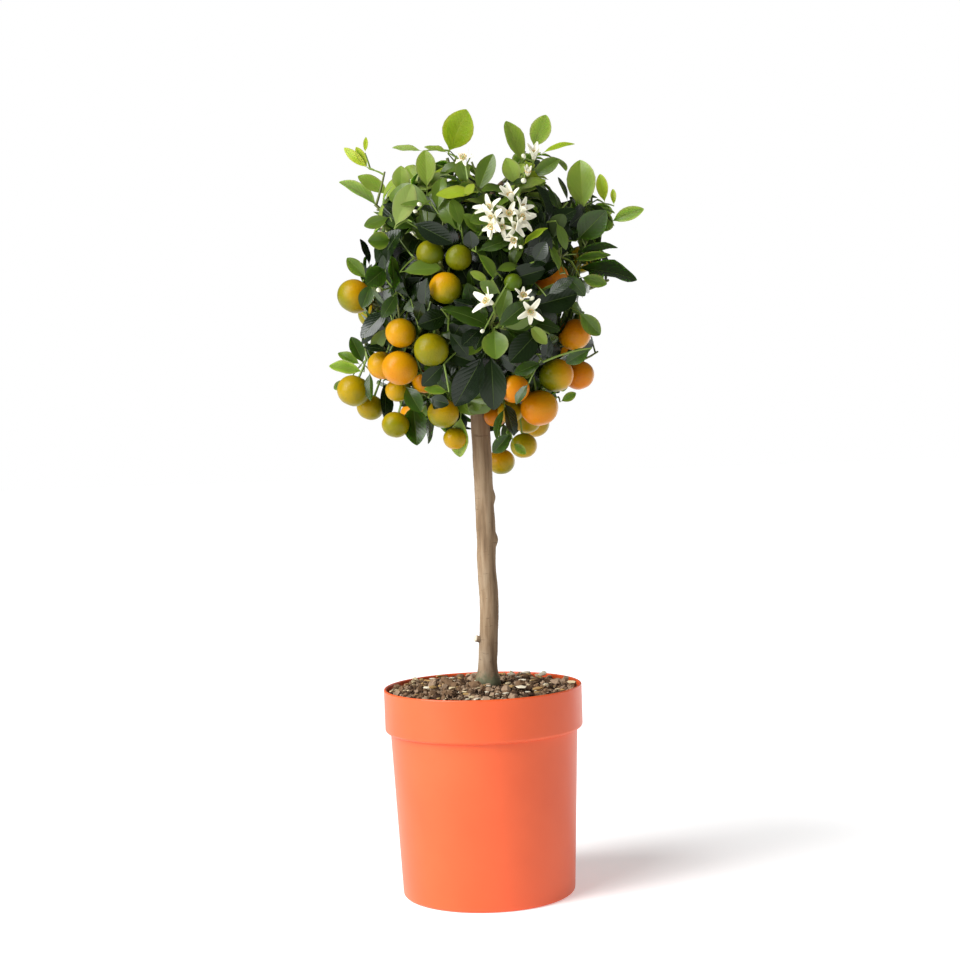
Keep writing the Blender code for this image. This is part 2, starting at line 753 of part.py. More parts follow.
def set_blossoms(mass, stem):
    """Set the mass's blossoms on stalks, their mouths turned out from the crown."""
    for x, y, z, radius in BLOSSOMS:
        centre = Vector((x, y, z))
        if home_of(centre) != mass.name:
            continue
        centre = moved_inside(mass.name, centre, radius)
        outward = (centre - CROWN_MIDDLE).normalized()
        depth = radius * BLOSSOM_DEPTH_SHARE
        for root in nearest_roots(stem, centre):
            stalk = [root, centre - outward * depth * 0.3]
            if mass.add_twig(stalk, SHOOT_RADIUS, SHOOT_TIP_RADIUS, leading=True):
                mass.blossoms.append((centre, outward, radius))
                ball = bmesh.new()
                bmesh.ops.create_icosphere(
                    ball, subdivisions=1, radius=radius, matrix=Matrix.Translation(centre))
                mass.taken.append(space_of(ball))
                break


def grow_leading_shoots(mass, stem):
    """Grow the mass's leading shoots, each with its last leaf pointing to a named place."""
    shoots = []
    for end, leaf_tip in LEADING_SHOOTS:
        end = Vector(end)
        leaf_tip = Vector(leaf_tip)
        if home_of(end) != mass.name:
            continue
        for root in nearest_roots(stem, end):
            path = [root, end]
            if mass.add_twig(path, SHOOT_RADIUS, SHOOT_TIP_RADIUS, leading=True):
                heading = leaf_tip - end
                sunk = end - heading.normalized() * LEADING_LEAF_SUNK
                width = heading.length * LEADING_WIDTH_SHARE
                mass.add_leaf(sunk, heading, LEADING_FACE, heading.length, width, leading=True)
                shoots.append({"path": path, "leaves": 5})
                break
    return shoots


def grow_side_shoots(mass, stem):
    """Grow shoots round the stem by the golden angle, shortened where space is scarce."""
    shoots = []
    turn = mass.draw.uniform(0.0, math.tau)
    for i in range(SHOOTS_PER_MASS + 3):
        share = 0.12 + 0.80 * i / (SHOOTS_PER_MASS + 2)
        step = min(int(share * (len(stem) - 1)), len(stem) - 2)
        root = stem[step].lerp(stem[step + 1], share * (len(stem) - 1) - step)
        heading = (stem[step + 1] - stem[step]).normalized()
        turn += GOLDEN_ANGLE
        radial = Quaternion(heading, turn) @ heading.orthogonal().normalized()
        way = heading * math.cos(SHOOT_ANGLE) + radial * math.sin(SHOOT_ANGLE)
        length = mass.draw.uniform(*SHOOT_LENGTH)
        for shorter in SHOOT_CUTS:
            path = [root, root + way * length * shorter]
            if crown_share(path[1]) >= SHOOT_END_LIMIT:
                continue
            if mass.add_twig(path, SHOOT_RADIUS, SHOOT_TIP_RADIUS):
                shoots.append({"path": path, "leaves": 6})
                break
    return shoots


def leaf_site(path, back):
    """A point this far back from a path's end and the path's direction there."""
    for start, stop in zip(reversed(path[:-1]), reversed(path[1:])):
        run = stop - start
        if back <= run.length:
            return stop - run.normalized() * back, run.normalized()
        back -= run.length
    return None, None


def grow_leaves(mass, shoots):
    """Set leaves from the tips of the shoots backwards, in rounds, until the mass has its number."""
    for k in range(ROUNDS_OF_LEAVES):
        for i, shoot in enumerate(shoots):
            if len(mass.leaves) >= LEAVES_PER_MASS:
                return
            if k >= shoot["leaves"]:
                continue
            root, heading = leaf_site(shoot["path"], LEAF_SEAT + k * LEAF_SPACING)
            if root is None:
                continue
            spread = LEAF_ANGLE if k else math.radians(20)
            outward = (root - CROWN_MIDDLE).normalized()
            for attempt in range(LEAF_TRIES):
                turn = GOLDEN_ANGLE * k + i * 1.7 + attempt * mass.draw.uniform(0.7, 1.3)
                radial = Quaternion(heading, turn) @ heading.orthogonal().normalized()
                way = heading * math.cos(spread) + radial * math.sin(spread)
                way = way - outward * (way.dot(outward) * LEAF_LAY)
                sway = Vector([mass.draw.uniform(-LEAF_SWAY, LEAF_SWAY) for _ in range(3)])
                face = outward + Vector((0.0, 0.0, 0.45)) + sway
                length = mass.draw.uniform(*LEAF_LENGTH) * (1 - LEAF_SHRINK * attempt)
                if mass.add_leaf(root, way, face, length, length * LEAF_WIDTH_SHARE):
                    break


def grow_mass(name, limbs):
    """Everything that one mass of foliage holds."""
    mass = Mass(name, limbs)
    stem = stem_path(name)
    mass.twigs.append((stem, tapered(len(stem), STEM_RADIUS, STEM_TIP_RADIUS)))
    own_stem = space_of(twig_shape(*mass.twigs[0]))
    shoots = hang_fruits(mass, stem)
    set_blossoms(mass, stem)
    shoots = grow_leading_shoots(mass, stem) + shoots
    shoots += grow_side_shoots(mass, stem)
    shoots.insert(0, {"path": stem, "leaves": 4})
    mass.taken.append(own_stem)
    grow_leaves(mass, shoots)
    return mass


def piece_object(shape, name):
    """A loose object of a twig, leaf, fruit or blossom, ready to be fused."""
    return bpy.data.objects.new(name, finished_mesh(shape, name))


def leaf_object(leaf):
    """The solid of one leaf."""
    shape = bmesh.new()
    verts = [shape.verts.new(point) for point in leaf_points(leaf)]
    for corners in LEAF_FACES:
        shape.faces.new([verts[k] for k in corners])
    return piece_object(shape, "leaf")


def fruit_object(centre, radius):
    """The solid of one fruit, a slightly flattened globe."""
    shape = bmesh.new()
    place = Matrix.Translation(centre) @ Matrix.Diagonal((1.0, 1.0, FRUIT_FLATNESS, 1.0))
    bmesh.ops.create_uvsphere(
        shape, u_segments=FRUIT_COLUMNS, v_segments=FRUIT_ROWS, radius=radius, matrix=place)
    return piece_object(shape, "fruit")


def blossom_object(centre, outward, radius):
    """The solid of one blossom: a five-sided bell that opens outwards."""
    shape = bmesh.new()
    depth = radius * BLOSSOM_DEPTH_SHARE
    turn = outward.to_track_quat("Z", "Y").to_matrix().to_4x4()
    place = Matrix.Translation(centre - outward * depth * 0.1) @ turn
    bmesh.ops.create_cone(
        shape, cap_ends=True, segments=5, radius1=BLOSSOM_THROAT, radius2=radius, depth=depth,
        matrix=place)
    return piece_object(shape, "blossom")


def build_mass(mass, group):
    """Fuse everything that a mass holds into one solid."""
    (stem, radii), *twigs = mass.twigs
    body = finished_mesh(twig_shape(stem, radii), "stem")
    base = new_object("stem", body, bpy.context.scene.collection)
    pieces = [piece_object(twig_shape(path, widths), "twig") for path, widths in twigs]
    pieces += [leaf_object(leaf) for leaf in mass.leaves]
    pieces += [fruit_object(*fruit) for fruit in mass.fruits]
    pieces += [blossom_object(*blossom) for blossom in mass.blossoms]
    name = "mass_" + mass.name
    new_object(name, joined(base, pieces, name), group, "mass")


def build_limbs(group, cutters):
    """The boughs, each cut clear of the trunk, and the space that trunk and boughs take."""
    rings = trunk_rings(POT_HEIGHT)
    path = [trunk_point(height) for height in rings]
    wide = [trunk_radius(height) + GAP for height in rings]
    clear_tube = tube_curve("trunk_clearance", path, wide, TRUNK_SIDES_STEP)
    clearance = new_object("trunk_clearance", clear_tube, cutters)
    clearance.hide_render = True
    clearance.display_type = "WIRE"
    limbs = [space_of(twig_shape(path, [radius + LIMB_CLEARANCE for radius in wide], 8))]
    for name in MASS_CENTRES:
        if name == LEADER_MASS:
            continue
        line = bough_path(name)
        root_radius = max(BOUGH_TIP_RADIUS, BOUGH_SHARE * trunk_radius(line[0].z))
        radii = tapered(len(line), root_radius, BOUGH_TIP_RADIUS)
        mesh = tube_curve("bough_" + name, line, radii, BOUGH_SIDES_STEP)
        bough = new_object("bough_" + name, mesh, group, "bough")
        cut = bough.modifiers.new("clear_of_trunk", "BOOLEAN")
        cut.operation = "DIFFERENCE"
        cut.solver = "EXACT"
        cut.object = clearance
        round_smooth(mesh)
        limbs.append(space_of(twig_shape(line, [radius + LIMB_CLEARANCE for radius in radii], 8)))
    return limbs


LEAF_POINTS, LEAF_FACES = leaf_template()


def main():
    """Build the whole plant and its pot."""
    clear_scene()
    group = new_collection("calamondin_tree")
    cutters = new_collection("cutters")
    build_pot(group)
    build_soil(group)
    build_trunk(group)
    limbs = build_limbs(group, cutters)
    for name in MASS_CENTRES:
        build_mass(grow_mass(name, limbs), group)


main()
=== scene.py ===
"""The finished look of a calamondin orange tree in its nursery pot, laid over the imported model.

Everything is in metres in the model's own frame: the origin is the centre of the pot's underside,
+Z is up and the front faces -Y. The crown grows by the model's own rule, carried on to finer
twigs, after the leaves, fruits and blossoms that are seen first from the front have their places.
"""
import json
import math
import random

import bmesh
import bpy
import numpy as np
from mathutils import Matrix, Quaternion, Vector, noise
from mathutils.bvhtree import BVHTree

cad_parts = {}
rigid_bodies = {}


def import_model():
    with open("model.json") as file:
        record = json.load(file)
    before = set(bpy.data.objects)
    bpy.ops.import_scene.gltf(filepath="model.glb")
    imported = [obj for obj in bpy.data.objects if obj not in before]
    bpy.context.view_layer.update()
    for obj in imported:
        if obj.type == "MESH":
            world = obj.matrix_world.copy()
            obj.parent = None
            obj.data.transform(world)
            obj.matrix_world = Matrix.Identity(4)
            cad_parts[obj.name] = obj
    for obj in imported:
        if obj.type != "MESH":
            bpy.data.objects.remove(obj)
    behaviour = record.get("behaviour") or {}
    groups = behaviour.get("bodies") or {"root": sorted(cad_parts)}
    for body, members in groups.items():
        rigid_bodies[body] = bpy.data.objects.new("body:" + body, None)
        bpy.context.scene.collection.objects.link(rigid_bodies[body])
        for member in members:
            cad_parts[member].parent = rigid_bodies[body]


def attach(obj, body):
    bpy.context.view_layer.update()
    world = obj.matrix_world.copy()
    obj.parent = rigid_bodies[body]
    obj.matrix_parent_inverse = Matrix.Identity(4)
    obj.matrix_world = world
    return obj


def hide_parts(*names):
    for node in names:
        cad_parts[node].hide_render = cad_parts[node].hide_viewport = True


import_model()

# The camera, with places in the picture measured in pixels of a square frame
CAMERA_PLACE = Vector((0.0043, -1.73, 0.453))
CAMERA_LENS = 66.8
SENSOR_WIDTH = 36.0
CAMERA_PITCH = math.radians(-1.7)
CAMERA_ROLL = math.radians(-1.97)
PICTURE_SIDE = 960
FOCAL_PIXELS = CAMERA_LENS / SENSOR_WIDTH * PICTURE_SIDE
CAMERA_TURN = (Matrix.Rotation(math.radians(90) + CAMERA_PITCH, 3, "X")
               @ Matrix.Rotation(CAMERA_ROLL, 3, "Z"))
# About how many metres a pixel spans at the crown
PIXEL_SIZE = 0.00097

# The pot
RIM_RADIUS = 0.0963
POT_HEIGHT = 0.2016
COLLAR_HEIGHT = 0.0415
COLLAR_DRAFT = 0.0001
COLLAR_STEP = 0.0052
BASE_RADIUS = 0.0838
POT_WALL = 0.0025
POT_FLOOR = 0.004
FOOT_ROUNDING = 0.0035
COLLAR_ROUNDING = 0.0030
NECK_ROUNDING = 0.0007
POT_SIDES = 144

# The soil
SOIL_EDGE_DROP = 0.005
SOIL_CROWN_RADIUS = 0.024
SOIL_TOP = POT_HEIGHT - 0.0004
SOIL_RADIUS = RIM_RADIUS - COLLAR_DRAFT - POT_WALL - 0.0004
SOIL_SUNK = 0.0012
GAP = 0.0003
SOIL_RINGS = 30
SOIL_SIDES = 96
SOIL_WAVES = {0.014: 0.0026, 0.004: 0.0014}

# What lies on the soil: how many, the radii of small, usual and large ones, how finely each is
# shaped, how flat it is, how far it stands up, and the seed of their places
CRUMBS = {"count": 3800, "sizes": (0.0006, 0.0015, 0.0026), "fineness": 1, "flatness": 0.7,
          "lift": 0.25, "seed": 5}
CLODS = {"count": 420, "sizes": (0.0018, 0.0034, 0.0060), "fineness": 2, "flatness": 0.7,
         "lift": 0.40, "seed": 21}
CHIPS = {"count": 150, "sizes": (0.0016, 0.0038, 0.0068), "fineness": 1, "flatness": 0.24,
         "lift": 1.10, "seed": 9}
CHIP_FLATNESS = 0.5
CHIP_SLIMNESS = 0.65
SMALL_SHARE = 0.8
LUMP_SHAPES = 5
BROWNS = {"crumb_dark": (72, 54, 40), "crumb_brown": (122, 96, 72), "crumb_grey": (158, 134, 110)}
PALES = {"chip_cream": (206, 188, 150), "chip_white": (222, 212, 188), "chip_tan": (172, 140, 90)}

# The trunk, its centre line as height: sideways place
TRUNK_LINE = {
    0.2016: 0.0053, 0.211: 0.0053, 0.232: 0.0063, 0.255: 0.0080, 0.283: 0.0095, 0.307: 0.0083,
    0.325: 0.0075, 0.342: 0.0088, 0.383: 0.0076, 0.431: 0.0073, 0.473: 0.0058, 0.515: 0.0030,
    0.565: -0.0010, 0.610: -0.0040, 0.645: -0.0055,
}
TRUNK_RADIUS = 0.0092
TRUNK_TIP_RADIUS = 0.0034
FLARE_RADIUS = 0.0125
FLARE_HEIGHT = 0.016
FORK_HEIGHT = 0.475
TRUNK_SIDES = 40
TRUNK_RING_STEP = 0.0026
TRUNK_BURIED = 0.004
TRUNK_EASING = (-0.01, -0.005, 0.0, 0.005, 0.01)
EASED_TOP = 0.640
STUB_HEIGHT = 0.245
STUB_LENGTH = 0.0135
STUB_RADIUS = 0.0036
STUB_SHAPE = {0.0: 1.5, 0.5: 1.15, 0.75: 0.85, 0.9: 0.95, 1.0: 0.6}
KNOBS = {0.344: 0.0026, 0.386: 0.0022}
KNOB_REACH = 0.009
ROOT_ANGLES = (20, 95, 150, 215, 290, 335)
ROOT_RISE = 0.0008
ROOT_REACH = 0.007
# Marks up the trunk that no leaf may hide, and how many pixels stay open round each
TRUNK_MARKS = 33
TRUNK_MARK_STEP = 0.008
TRUNK_MARK_PIXELS = 11

# The crown's outer limits
CROWN_MIDDLE = Vector((0.016, 0.0, 0.605))
CROWN_HALF_WIDTH = 0.148
CROWN_HALF_DEPTH = 0.152
CROWN_RISE = 0.150
CROWN_FALL = 0.192
CROWN_SQUARENESS = 2.6
LEAF_LAYER = 0.86

# The centre of each mass of foliage
MASS_CENTRES = {
    "low_left": (-0.100, 0.005, 0.487),
    "low_front_left": (-0.042, -0.050, 0.467),
    "low_front_right": (0.038, -0.045, 0.455),
    "low_right": (0.095, -0.042, 0.513),
    "low_back_right": (0.060, 0.064, 0.479),
    "low_back_left": (-0.048, 0.068, 0.483),
    "front_left": (-0.066, -0.085, 0.533),
    "front": (0.022, -0.112, 0.553),
    "front_right": (0.075, -0.092, 0.603),
    "right": (0.118, 0.010, 0.588),
    "back_right": (0.070, 0.096, 0.567),
    "back_left": (-0.042, 0.100, 0.573),
    "left": (-0.106, -0.008, 0.582),
    "upper_front_left": (-0.024, -0.103, 0.604),
    "upper_front": (0.038, -0.080, 0.661),
    "upper_left": (-0.080, -0.018, 0.667),
    "upper_right": (0.114, -0.004, 0.662),
    "upper_back_right": (0.068, 0.078, 0.657),
    "upper_back_left": (-0.036, 0.078, 0.661),
    "top_left": (-0.018, -0.008, 0.711),
    "top_right": (0.056, 0.002, 0.717),
}
MASS_CENTRES = {name: Vector(centre) for name, centre in MASS_CENTRES.items()}
LEADER_MASS = "top_left"
MASS_NODES = ["mass_" + name for name in MASS_CENTRES]
BOUGH_NODES = ["bough_" + name for name in MASS_CENTRES if name != LEADER_MASS]

# Limbs
BOUGH_FIRST = 0.006
BOUGH_SPACING = 0.0074
BOUGH_SHARE = 0.55
BOUGH_TIP_RADIUS = 0.0026
BOUGH_BARE_STEPS = 4
STEM_BACK = 0.034
STEM_RADIUS = 0.0022
STEM_TIP_RADIUS = 0.0014
STEM_REACH = 0.034
STEM_END_MARGIN = 0.006
STEM_END_LIMIT = 0.84
SHOOT_RADIUS = 0.0014
SHOOT_TIP_RADIUS = 0.0009
TWIG_RADIUS = 0.0010
TWIG_TIP_RADIUS = 0.0006
SHOOTS = {"count": 8, "angle": math.radians(68), "lengths": (0.030, 0.056),
          "radii": (SHOOT_RADIUS, SHOOT_TIP_RADIUS)}
FINE_TWIGS = {"count": 3, "angle": math.radians(48), "lengths": (0.016, 0.034),
              "radii": (TWIG_RADIUS, TWIG_TIP_RADIUS)}
TWIG_CUTS = (1.0, 0.8, 0.62, 0.45)
TWIG_LIFT = 0.14
TWIG_EDGE = 0.84
TWIG_STRAY = 0.012
TWIG_STEP = 0.006
GOLDEN_ANGLE = math.radians(137.5)

# Leaves
LEAF_LENGTH = (0.036, 0.054)
LEAF_SHRINK = 0.05
LEAF_WIDTH_SHARE = 0.45
LEAF_WIDTH_CHANGE = (0.88, 1.14)
LEAF_EDGE = (0.84, 1.0)
LEAF_THICKNESS = 0.008
LEAF_ANGLE = math.radians(52)
LAST_LEAF_ANGLE = math.radians(20)
LEAF_SEAT = 0.001
LEAF_SPACING = 0.0055
LEAVES_PER_TWIG = 9
LEAF_LAY = (0.05, 0.70)
LEAF_SWAY = 0.55
LEAF_LIFT = 0.45
LEAF_TRIES = 10
LEAST_CROWN_SHARE = 0.42
OWN_KIND_SHARE = 0.7
REACH_TRIES = 40
# Leaves hang more and more below one height and rise more and more above another
HANGING_BELOW = 0.565
HANGING_DEPTH = 0.15
HANGING = 0.45
RISING_ABOVE = 0.665
RISING_DEPTH = 0.09
RISING = 0.35
LEAF_OUTLINE = {
    0.0: 0.022, 0.10: 0.024, 0.16: 0.11, 0.25: 0.28, 0.36: 0.41, 0.49: 0.485, 0.62: 0.495,
    0.74: 0.435, 0.84: 0.33, 0.92: 0.21, 0.97: 0.11, 1.0: 0.018,
}
LEAF_WAVES = 11
RIB_SHARE = 0.030
SIDE_VEINS = 9.0
VEIN_SLANT = 7.0
# Places on a blade as shares of its length and width: its corners, and points between them
BLADE_CORNERS = ((0.14, 0.0), (0.34, 0.42), (0.34, -0.42), (0.74, 0.42), (0.74, -0.42), (1.0, 0.0))
BLADE_MIDDLE = ((0.24, 0.0), (0.44, 0.0), (0.64, 0.0), (0.84, 0.0), (0.54, 0.45), (0.54, -0.45))
BLADE_FACES = [(0, 2, 1), (1, 2, 4, 3), (3, 4, 5)]
# A shown leaf turns to the side where it looks narrower than it is, and leans where it looks wider
LEAST_WIDTH_SHARE = 0.46
MOST_WIDTH_SHARE = 0.56
MOST_LEAN = 0.6
SHOWN_TIP_DEPTH = (-0.004, 0.008)

# Colours as red, green and blue out of 255
# The leaf kinds run from light to dark partly as the leaves' own greens and partly as painted light and
# shade: the lighter kinds go where the crown is lit, the darker ones into its shade
LEAF_COLOURS = {
    "young": (150, 164, 38),
    "bright": (138, 158, 26),
    "pale": (142, 160, 84),
    "fresh": (122, 142, 50),
    "mid": (80, 102, 28),
    "deep": (42, 62, 12),
    "dark": (20, 35, 8),
    "sheen": (18, 31, 12),
}
# Each kind's roughness, shine and how much light it lets through
LEAF_SKIN = {
    "young": (0.45, 0.25, 0.6), "bright": (0.40, 0.30, 0.6), "pale": (0.42, 0.32, 0.5),
    "fresh": (0.36, 0.32, 0.5), "mid": (0.30, 0.34, 0.3), "deep": (0.25, 0.32, 0.1),
    "dark": (0.22, 0.28, 0.0), "sheen": (0.17, 0.44, 0.0),
}
GLOW_COLOURING = (0.6, 1.0, 0.3)
GLOW_DEPTH = 0.001
PALE_RIB = (150, 168, 84)
PALE_UNDERSIDE = (120, 136, 76)
NARROW_KINDS = {"young"}

# The leaves that are seen first: where the picture shows root and tip (across, down), the width
# seen, how far the leaf lies behind the crown's face in millimetres, and its kind, as light or dark as the
# leaf looks there, so the dark kinds within the crown include painted shade
SHOWN_LEAVES = {
    "top": (448, 154, 466, 110, 31, 0, "bright"),
    "top_side_far": (423, 151, 392, 148, 7, 0, "pale"),
    "top_side_near": (448, 153, 424, 147, 7, 0, "fresh"),
    "top_left_upright": (427, 190, 425, 150, 20, -6, "fresh"),
    "top_left_round": (401, 194, 401, 166, 18, 4, "fresh"),
    "left_folded": (394, 229, 412, 184, 23, -8, "pale"),
    "left_young_low": (369, 169, 344, 148, 10, 0, "young"),
    "left_young_middle": (368, 168, 356, 147, 9, 2, "young"),
    "left_young_top": (365, 153, 366, 137, 5, 0, "young"),
    "left_shoulder_top": (390, 196, 358, 176, 15, 2, "fresh"),
    "left_shoulder_low": (379, 208, 339, 182, 12, 2, "pale"),
    "left_short": (390, 217, 364, 226, 13, 0, "mid"),
    "left_round": (392, 240, 368, 241, 18, 2, "mid"),
    "left_edge_on": (370, 267, 360, 239, 6, 0, "sheen"),
    "left_lower_tip": (367, 279, 347, 258, 14, 0, "mid"),
    "left_lower_round": (386, 268, 366, 285, 22, -6, "deep"),
    "grey_large": (412, 222, 453, 243, 21, 0, "sheen"),
    "grey_small": (472, 250, 470, 231, 16, 0, "sheen"),
    "above_blossom": (477, 194, 493, 154, 19, 0, "mid"),
    "above_blossom_back": (467, 184, 459, 161, 15, 8, "mid"),
    "inner_yellow": (478, 192, 436, 195, 12, 0, "bright"),
    "inner_young": (464, 195, 474, 184, 9, -4, "bright"),
    "twin_left": (522, 165, 506, 121, 17, 0, "fresh"),
    "twin_right": (533, 150, 546, 115, 21, 2, "fresh"),
    "twin_foot": (518, 186, 506, 158, 18, -2, "fresh"),
    "twin_side": (531, 178, 559, 159, 15, 4, "mid"),
    "long_narrow": (541, 154, 575, 144, 6, -2, "bright"),
    "bright_spear": (522, 246, 548, 228, 8, -14, "bright"),
    "curved_right": (556, 221, 566, 250, 11, -4, "mid"),
    "spike_right": (568, 202, 558, 177, 4, 2, "sheen"),
    "right_large": (583, 213, 580, 160, 29, 0, "fresh"),
    "right_round": (576, 241, 606, 211, 27, -8, "deep"),
    "right_young_tall": (605, 204, 600, 174, 12, 0, "young"),
    "right_young_small": (614, 206, 613, 189, 6, 0, "young"),
    "right_tip": (610, 222, 644, 209, 15, 0, "fresh"),
    "right_fan_top": (576, 254, 618, 248, 10, 0, "deep"),
    "right_fan_middle": (571, 261, 611, 255, 10, -2, "mid"),
    "right_fan_long": (573, 268, 637, 280, 14, -4, "deep"),
    "right_fan_low": (580, 277, 607, 284, 13, 2, "mid"),
    "right_fan_last": (565, 273, 585, 296, 14, -2, "deep"),
    "below_blossom": (476, 252, 513, 239, 13, -4, "deep"),
    "below_blossom_hang": (476, 252, 494, 278, 9, -4, "mid"),
    "middle_short": (495, 271, 518, 266, 10, 0, "mid"),
    "middle_left_short": (489, 284, 470, 272, 8, -2, "fresh"),
    "middle_bract": (500, 294, 480, 282, 14, -6, "mid"),
    "grey_right": (518, 250, 546, 263, 20, 4, "sheen"),
    "right_strap": (560, 274, 548, 244, 9, 0, "mid"),
    "left_bar": (400, 272, 441, 268, 14, -2, "mid"),
    "left_upright": (393, 296, 391, 256, 9, 0, "deep"),
    "over_left_fruit": (371, 283, 362, 308, 15, -26, "deep"),
    "left_grey_hang": (390, 309, 361, 338, 17, -6, "sheen"),
    "left_grey_inner": (398, 292, 382, 318, 14, 2, "deep"),
    "left_green_flat": (386, 327, 373, 350, 14, 0, "mid"),
    "left_grey_flat": (390, 351, 364, 347, 10, -6, "sheen"),
    "left_fan_top": (364, 365, 351, 337, 14, 0, "deep"),
    "left_fan_middle": (361, 365, 338, 353, 11, 0, "mid"),
    "left_fan_low": (364, 372, 329, 366, 14, -4, "fresh"),
    "left_fan_back": (350, 380, 334, 389, 10, 10, "mid"),
    "left_fan_front": (370, 371, 371, 401, 11, -30, "deep"),
    "left_low_dark": (383, 381, 385, 420, 14, 0, "dark"),
    "left_low_large": (413, 402, 417, 445, 26, -10, "deep"),
    "left_low_edge": (426, 392, 428, 444, 9, -6, "deep"),
    "left_low_upper": (405, 385, 421, 412, 18, -4, "deep"),
    "left_low_side": (428, 398, 449, 404, 14, 0, "dark"),
    "middle_wide_back": (449, 314, 418, 325, 21, 4, "dark"),
    "middle_wide": (441, 309, 489, 326, 18, -4, "deep"),
    "middle_grey": (481, 328, 462, 346, 16, 0, "sheen"),
    "middle_round": (494, 328, 496, 359, 27, -8, "mid"),
    "middle_raised": (497, 328, 527, 303, 19, -8, "deep"),
    "middle_upright": (499, 324, 508, 288, 17, -2, "mid"),
    "middle_lower_grey": (448, 331, 468, 356, 15, 2, "dark"),
    "front_large": (485, 353, 455, 406, 30, -8, "sheen"),
    "front_hanging": (491, 353, 494, 410, 28, -2, "dark"),
    "right_inner_pale": (529, 324, 547, 344, 13, -4, "fresh"),
    "right_wide_dark": (530, 307, 577, 294, 27, 0, "dark"),
    "right_side_leaf": (578, 311, 600, 335, 17, 0, "mid"),
    "right_lower_leaf": (592, 348, 566, 363, 15, -22, "deep"),
    "right_inner_grey": (550, 334, 546, 361, 12, 0, "sheen"),
    "right_inner_dark": (540, 330, 510, 362, 26, 8, "dark"),
    "right_lower_dark": (543, 362, 514, 374, 14, -2, "deep"),
    "between_fruits": (529, 383, 516, 404, 9, -14, "deep"),
    "right_last": (560, 402, 576, 393, 9, 0, "mid"),
    "low_middle": (461, 414, 460, 457, 19, -8, "fresh"),
    "low_right_of_trunk": (511, 433, 493, 453, 15, -8, "deep"),
    "low_right_small": (513, 443, 526, 454, 9, -20, "mid"),
    "low_inner_left": (446, 390, 434, 409, 14, 4, "dark"),
    "low_inner_right": (503, 400, 514, 436, 14, 0, "dark"),
    "low_strap": (505, 407, 497, 440, 9, -4, "deep"),
    "left_cover": (444, 364, 422, 386, 17, -16, "dark"),
    "left_cover_low": (449, 392, 424, 389, 10, -16, "mid"),
    "curled_back": (534, 262, 546, 242, 16, -6, "sheen"),
    "over_high_fruit": (546, 296, 574, 278, 13, -16, "dark"),
}

# The crown's outline as the picture shows it (across, down), past which only shown leaves reach
OUTLINE_MIDDLE = (486, 300)
SEEN_OUTLINE = [
    (361, 228), (362, 206), (372, 192), (385, 180), (392, 168), (404, 163), (414, 152), (430, 152),
    (445, 160), (462, 160), (476, 168), (492, 158), (502, 170), (508, 156), (526, 148), (548, 150),
    (556, 168), (566, 192), (574, 170), (596, 178), (606, 202), (624, 218), (610, 236), (606, 250),
    (616, 262), (606, 284), (588, 300), (596, 322), (594, 348), (594, 366), (590, 388), (576, 396),
    (562, 412), (552, 428), (540, 448), (522, 462), (512, 472), (496, 474), (492, 452), (478, 440),
    (464, 452), (448, 448), (440, 432), (430, 442), (414, 444), (398, 440), (384, 432), (372, 420),
    (352, 410), (338, 392), (334, 368), (350, 344), (356, 326), (346, 312), (338, 298), (348, 284),
    (356, 270), (350, 256), (362, 246),
]

# How much less far the leaves behind the trunk reach in that outline, and how soon behind it
BACK_INSET = 0.09
BACK_DEPTH = 0.06

# Where the picture shows sky through the crown (across, down, half width), and a reach past it all
SKY_GAPS = [
    (411, 238, 5), (377, 385, 4), (573, 248, 5), (579, 276, 4), (561, 350, 4), (395, 402, 3),
    (497, 173, 7), (491, 184, 5), (555, 184, 8), (561, 199, 6), (374, 229, 6), (364, 241, 4),
    (374, 258, 6), (410, 161, 6), (439, 161, 5), (449, 163, 4), (584, 301, 7), (602, 241, 4),
    (378, 203, 4), (371, 212, 4),
]
FAR_AWAY = 10.0

